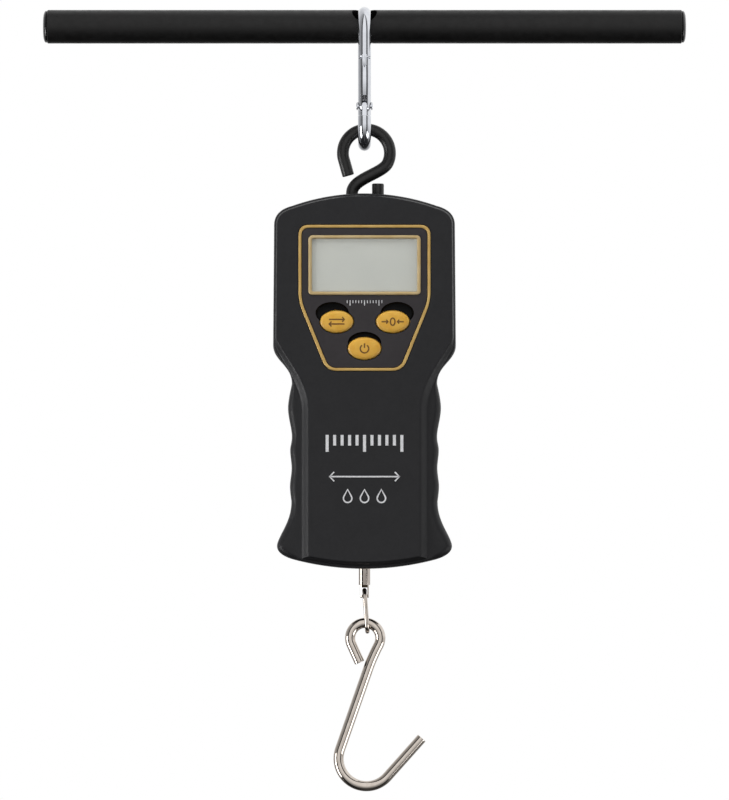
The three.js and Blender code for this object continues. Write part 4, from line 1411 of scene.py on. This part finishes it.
def make_button(name, centre):
    """An oval key with a flange behind the case wall, a domed face and its pictogram."""
    body = name + "_key"
    flange = [(-9.5, 0), (-9.9, 0), (-9.9, 1), (-10.6, 1), (-10.6, 0), (-12.6, 0)]
    width, height = BUTTON_HALF
    rings = [at_depth(ellipse(centre, width + grow, height + grow), y) for y, grow in flange]
    surface = dome(centre)
    steps = 14
    for step in range(steps):
        share = math.cos(step / steps * math.pi / 2) ** 0.5
        ring = ellipse(centre, width * share, height * share)
        rings.append(at_depth(ring, surface(ring[0][0], ring[0][1])))
    rings.append(at_depth(ellipse(centre, 0.05 * width, 0.05 * height), BUTTON_FRONT))
    key = loft(name + "_key_cap", rings)
    finish_piece(smooth(key, 50), body, "key_yellow", name + "_button")
    marks = [[(centre[0] + x, centre[1] + z) for x, z in run] for run in PICTOGRAMS[name]]
    mark = ribbon(name + "_key_mark", marks, 0.6, surface)
    finish_piece(mark, body, "key_yellow", look=BROWN_INK)


def ring_stroke(centre, half_width, half_height, start, end, count=28):
    """Part of an oval as a stroke; a whole oval ends where it starts."""
    angles = [start + (end - start) * i / count for i in range(count + 1)]
    points = [on_oval(centre, half_width, half_height, angle) for angle in angles]
    if end - start == 360:
        points[-1] = points[0]
    return points


def arrow(tail, tip, head=1.0):
    """Strokes of an arrow along X."""
    barb = tip[0] - math.copysign(head, tip[0] - tail[0])
    return [stroke(tail, tip, 6), [(barb, tip[1] + head), tip, (barb, tip[1] - head)]]


# Plain pictograms in place of words: swap, zero between arrows, and the standby ring
PICTOGRAMS = {
    "unit": [*arrow((-3.2, 0.95), (3.2, 0.95)), *arrow((3.2, -0.95), (-3.2, -0.95))],
    "tare": [
        ring_stroke((0, 0), 0.95, 1.5, 0, 360),
        *arrow((-4.6, 0), (-1.9, 0), 0.8),
        *arrow((4.6, 0), (1.9, 0), 0.8),
    ],
    "power": [ring_stroke((0, -0.1), 1.75, 1.75, 125, 415), stroke((0, 2.1), (0, 0.2), 4)],
}


def flat_at(depth):
    """A surface for ribbon() that has the same depth all over."""
    return lambda x, z: depth


def ticks(count, pitch, short, tall, z):
    """Strokes of a row of ticks down from z, with every fifth one tall."""
    strokes = []
    for i in range(count):
        number = i - (count - 1) / 2
        length = tall if number % 5 == 0 else short
        strokes.append(stroke((number * pitch, z), (number * pitch, z - length), 2))
    return strokes


def drop_stroke(centre, radius):
    """A drop: a round foot that closes in a point above."""
    foot = ring_stroke(centre, radius, radius, 150, 390, 24)
    point = (centre[0], centre[1] + 2.1 * radius)
    return [point] + foot + [point]


def make_marks():
    """Plain white marks: two rules of ticks, a double arrow and three drops."""
    fine = 0.32
    medium = 0.6
    bold = 1.25
    case_face = flat_at(FACE_FRONT)
    small_ticks = ticks(13, 1.2, 1.2, 2.2, FILM_RULE_Z)
    film_rule = ribbon("film_rule", small_ticks, fine, flat_at(FILM_FRONT))
    finish_piece(film_rule, "scale", "panel_film", look=WHITE_INK)
    case_rule = ribbon("case_rule", ticks(11, 3.1, 4.4, 7.0, CASE_RULE_Z), bold, case_face)
    finish_piece(case_rule, "scale", "case_plastic", look=WHITE_INK)
    span = []
    for tip in (RANGE_HALF, -RANGE_HALF):
        span += arrow((0, RANGE_Z), (tip, RANGE_Z), 1.9)
    case_range = ribbon("case_range", span, medium, case_face)
    finish_piece(case_range, "scale", "case_plastic", look=WHITE_INK)
    drops = [drop_stroke((x, DROPS_Z), 1.75) for x in (-7, 0, 7)]
    case_drops = ribbon("case_drops", drops, medium, case_face)
    finish_piece(case_drops, "scale", "case_plastic", look=WHITE_INK)


# ---------------------------------------------------------------- rod, link and load hook


def make_rod():
    """The round rod, with a slotted block for the link at its lower end."""
    edge = 0.3
    profile = [
        (ROD_RADIUS - edge, ROD_LOW.z),
        (ROD_RADIUS, ROD_LOW.z + edge),
        (ROD_RADIUS, ROD_HIGH.z - edge),
        (ROD_RADIUS - edge, ROD_HIGH.z),
    ]
    rod_piece = turned("pull_rod_fine", profile, "Z", sides=64)
    far = 6
    low = ROD_LOW.z - 1
    half_x, half_y = ROD_FLAT_HALF
    cutters = [
        block("flat", (half_x, -far, low), (far, far, ROD_FLAT_TOP)),
        block("flat", (-far, -far, low), (-half_x, far, ROD_FLAT_TOP)),
        block("flat", (-far, half_y, low), (far, far, ROD_FLAT_TOP)),
        block("flat", (-far, -far, low), (far, -half_y, ROD_FLAT_TOP)),
        block("slot", (-ROD_SLOT_HALF, -far, ROD_SLOT[0]), (ROD_SLOT_HALF, far, ROD_SLOT[1])),
    ]
    cut(rod_piece, *cutters)
    soften(rod_piece, 0.12, 40, 2)
    finish_piece(smooth(rod_piece), "scale", "nickel_plate", "pull_rod")
    # The faces of the block, below the top of the flats, get the painted shade
    rod_piece.data.materials.append(ROD_BLOCK_SHADE)
    for face in rod_piece.data.polygons:
        if face.center.z < (ROD_FLAT_TOP + 0.1) * MM:
            face.material_index = 1


def make_link():
    """A long wire ring whose two ends meet at a seam, leaning as it hangs."""
    top = LINK_TOP - LINK_BEND
    bottom = LINK_BOTTOM + LINK_BEND
    seam = (top + bottom) / 2
    path = line((LINK_BEND, seam + GAP / 3), (LINK_BEND, top), 8)
    path += arc((0, top), LINK_BEND, 0, 180, 40)
    path += line((-LINK_BEND, top), (-LINK_BEND, bottom), 16)
    path += arc((0, bottom), LINK_BEND, 180, 360, 40)
    path += stroke((LINK_BEND, bottom), (LINK_BEND, seam - GAP / 3), 8)
    link = wire("link_wire", in_yz(path), (1, 0, 0), LINK_WIRE, 0.15, 24, 0.35)
    pivot = Matrix.Translation((0, 0, LINK_TOP * MM))
    link.data.transform(pivot @ Matrix.Rotation(-LINK_LEAN, 4, "Y") @ pivot.inverted())
    finish_piece(smooth(link, 60), "link", "nickel_plate", "swivel_link")


def make_load_hook():
    """One wire: the short arm, the eye, the straight shank, the big bend and the point."""
    x, z, radius = HOOK_LOOP
    start, end = HOOK_LOOP_ANGLES
    opening = on_oval((x, z), radius, radius, start)
    leave = on_oval((x, z), radius, radius, end)
    bend = HOOK_BEND[:2]
    bend_radius = HOOK_BEND[2]
    bend_start = 180 - HOOK_SHANK_LEAN
    bend_end = 360 + HOOK_POINT_SLOPE - 90
    shank_foot = on_oval(bend, bend_radius, bend_radius, bend_start)
    point_root = on_oval(bend, bend_radius, bend_radius, bend_end)
    path = line(HOOK_ARM_END, opening, 14)
    path += arc((x, z), radius, start, end, 80)
    path += bezier([leave, HOOK_NECK, HOOK_SHANK_TOP], 20)
    path += line(HOOK_SHANK_TOP, shank_foot, 30)
    path += arc(bend, bend_radius, bend_start, bend_end, 70)
    path += stroke(point_root, HOOK_TIP, 20)
    hook = wire("load_hook_wire", in_xz(path), (0, 1, 0), HOOK_WIRE, 0.25, 40)
    finish_piece(smooth(hook, 60), "load_hook", "nickel_plate", "load_hook")


# ---------------------------------------------------------------- inside the case

INNER_LOOKS = {
    "gate_plunger": "dark_steel",
    "case_seal_left": "rubber",
    "case_seal_right": "rubber",
    "hook_grommet": "rubber",
    "lcd_module": "lcd_grey",
    "unit_switch": "switch_black",
    "tare_switch": "switch_black",
    "power_switch": "switch_black",
    "circuit_board": "board_green",
    "controller_chip": "switch_black",
    "hook_eye": "dark_steel",
    "load_cell": "aluminium",
    "cell_screw_left": "dark_steel",
    "cell_screw_right": "dark_steel",
    "strain_gauge_left": "gauge_film",
    "strain_gauge_right": "gauge_film",
    "load_cell_lead": "rubber",
    "rod_nut": "nickel_plate",
    "rod_bush": "rubber",
    "battery_left": "battery_sleeve",
    "battery_right": "battery_sleeve",
    "battery_contact_left": "nickel_plate",
    "battery_contact_right": "nickel_plate",
    "battery_bridge": "nickel_plate",
    "battery_spring_left": "nickel_plate",
    "battery_spring_right": "nickel_plate",
}


def dress_inner_pieces():
    """The inner CAD pieces keep their shape, and get a material and slightly broken edges."""
    for node, look in INNER_LOOKS.items():
        piece = frame["nodes"][node]
        piece.data.materials.clear()
        piece.data.materials.append(LOOKS[look])
        smooth(piece)
        bevel(piece, 0.12, 35, 2)


# ---------------------------------------------------------------- floor, light and camera

PICTURE_CENTRE = Vector((0, HANG_Y * MM, -0.1558))
PICTURE_HEIGHT = 0.33333
LENS = 400
SENSOR = 36
SHINE = 1.25
FLOOR_HALF = 8
FLOOR_DROP = 0.8


def make_floor():
    """A plain pale floor far below; it gives a little light of its own, so that it stays even."""
    size = FLOOR_HALF
    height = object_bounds()[0].z - FLOOR_DROP
    mesh = bpy.data.meshes.new("floor")
    corners = [(-size, -size), (size, -size), (size, size), (-size, size)]
    mesh.from_pydata([(x, y, height) for x, y in corners], [], [(0, 1, 2, 3)])
    floor = add_object("floor", mesh)
    look = new_look("floor_white", srgb(150, 150, 149), 0.9, Specular_IOR_Level=0.1)
    tint(look, noise(look, 400), srgb(147, 147, 146), srgb(153, 153, 152))
    shader = shader_of(look)
    shader.inputs["Emission Color"].default_value = srgb(236, 236, 235)
    shader.inputs["Emission Strength"].default_value = 0.9
    floor.data.materials.append(look)
    floor.visible_glossy = False
    floor.visible_diffuse = False


# What shiny surfaces see round the object, from behind (-180) past the front (0) to behind: a soft
# box in front, dark flags beside it, a dim left side and a bright right side
SURROUND = [
    (-180, 0.9),
    (-120, 0.62),
    (-85, 0.36),
    (-56, 0.3),
    (-49, 0.02),
    (-36, 0.02),
    (-30, 1.0),
    (30, 1.0),
    (36, 0.02),
    (49, 0.02),
    (56, 0.6),
    (75, 1.0),
    (130, 1.0),
    (180, 0.9),
]


def make_world():
    """White behind the object, an even dim light on matt surfaces, the surround on shiny ones."""
    world = bpy.data.worlds.new("studio")
    world.use_nodes = True
    bpy.context.scene.world = world
    world.node_tree.nodes.clear()
    links = world.node_tree.links
    place = add_node(world, "ShaderNodeTexCoord")
    split = add_node(world, "ShaderNodeSeparateXYZ")
    links.new(place.outputs["Generated"], split.inputs["Vector"])
    front = add_node(world, "ShaderNodeMath", operation="MULTIPLY")
    links.new(split.outputs["Y"], front.inputs[0])
    front.inputs[1].default_value = -1
    round_angle = add_node(world, "ShaderNodeMath", operation="ARCTAN2")
    links.new(split.outputs["X"], round_angle.inputs[0])
    links.new(front.outputs["Value"], round_angle.inputs[1])
    share = spread(world, round_angle.outputs["Value"], -math.pi, math.pi, 0, 1)
    ramp = add_node(world, "ShaderNodeValToRGB")
    links.new(share, ramp.inputs["Fac"])
    stops = ramp.color_ramp.elements
    for _ in range(len(SURROUND) - len(stops)):
        stops.new(0.5)
    for stop, (angle, level) in zip(stops, SURROUND):
        stop.position = angle / 360 + 0.5
        stop.color = (level, level, level, 1)

    def background(strength=None):
        """A white background, as strong as the socket says."""
        node = add_node(world, "ShaderNodeBackground")
        node.inputs["Color"].default_value = (1, 1, 1, 1)
        if strength:
            links.new(strength, node.inputs["Strength"])
        return node

    def for_rays(kind, seen, others):
        """What rays of this kind see, and what all others see."""
        mix = add_node(world, "ShaderNodeMixShader")
        links.new(rays.outputs[kind], mix.inputs["Fac"])
        links.new(others, mix.inputs[1])
        links.new(seen, mix.inputs[2])
        return mix.outputs["Shader"]

    # Both lights grow with the height of the direction seen
    height = split.outputs["Z"]
    shiny = background(spread(world, height, -0.8, 0.1, 0.08, SHINE))
    links.new(ramp.outputs["Color"], shiny.inputs["Color"])
    matt = background(spread(world, height, -0.7, 0.6, 0.04, 0.4))
    rays = add_node(world, "ShaderNodeLightPath")
    lit = for_rays("Is Glossy Ray", shiny.outputs["Background"], matt.outputs["Background"])
    shown = for_rays("Is Camera Ray", background().outputs["Background"], lit)
    output = add_node(world, "ShaderNodeOutputWorld")
    links.new(shown, output.inputs["Surface"])


def area_light(name, place, width, height, power, seen_by="diffuse"):
    """A light that faces the middle of the picture and lights only matt or only shiny surfaces."""
    data = bpy.data.lights.new(name, "AREA")
    data.shape = "RECTANGLE"
    data.size = width
    data.size_y = height
    data.energy = power
    light = add_object(name, data)
    light.location = place
    light.visible_diffuse = seen_by == "diffuse"
    light.visible_glossy = seen_by == "glossy"
    light.rotation_euler = (PICTURE_CENTRE - Vector(place)).to_track_quat("-Z", "Y").to_euler()


def make_lights():
    area_light("soft_left", (-1.1, -0.55, -0.35), 0.6, 0.9, 12)
    area_light("soft_right", (1.0, -0.35, 0.0), 0.35, 1.0, 4)
    area_light("soft_top", (0, -0.5, 0.9), 1.2, 0.6, 9)
    area_light("soft_back", (0.6, 1.4, 0.1), 1.0, 1.0, 16)
    area_light("strip_left", (-1.05, -0.36, -0.58), 0.4, 0.9, 9, "glossy")
    area_light("card_right", (0.85, -0.35, -0.72), 0.7, 0.45, 3, "glossy")


def make_camera():
    """A level camera, far away behind a long lens, that fits the picture's height."""
    data = bpy.data.cameras.new("camera")
    data.lens = LENS
    data.sensor_fit = "VERTICAL"
    data.sensor_height = SENSOR
    data.sensor_width = SENSOR
    distance = PICTURE_HEIGHT / 2 / (SENSOR / 2 / LENS)
    camera = add_object("camera", data)
    camera.location = PICTURE_CENTRE + Vector((0, -distance, 0))
    camera.rotation_euler = (math.pi / 2, 0, 0)
    bpy.context.scene.camera = camera


# ---------------------------------------------------------------- the scene

make_camera()
make_handle()
make_plug(-1, "handle_plug_left")
make_plug(1, "handle_plug_right")
make_snap_hook()
make_gate()
make_rivet()
make_s_hook()
make_front_case()
make_rear_case()
make_battery_cover()
for screw_name in SCREW_NAMES:
    make_screw(screw_name, "scale")
make_screw("cover_screw", "cover")
make_face()
make_display()
for button_name, button_centre in BUTTONS.items():
    make_button(button_name, button_centre)
make_marks()
make_rod()
make_link()
make_load_hook()
dress_inner_pieces()
make_floor()
make_world()
make_lights()
bpy.context.scene.view_settings.view_transform = "Standard"
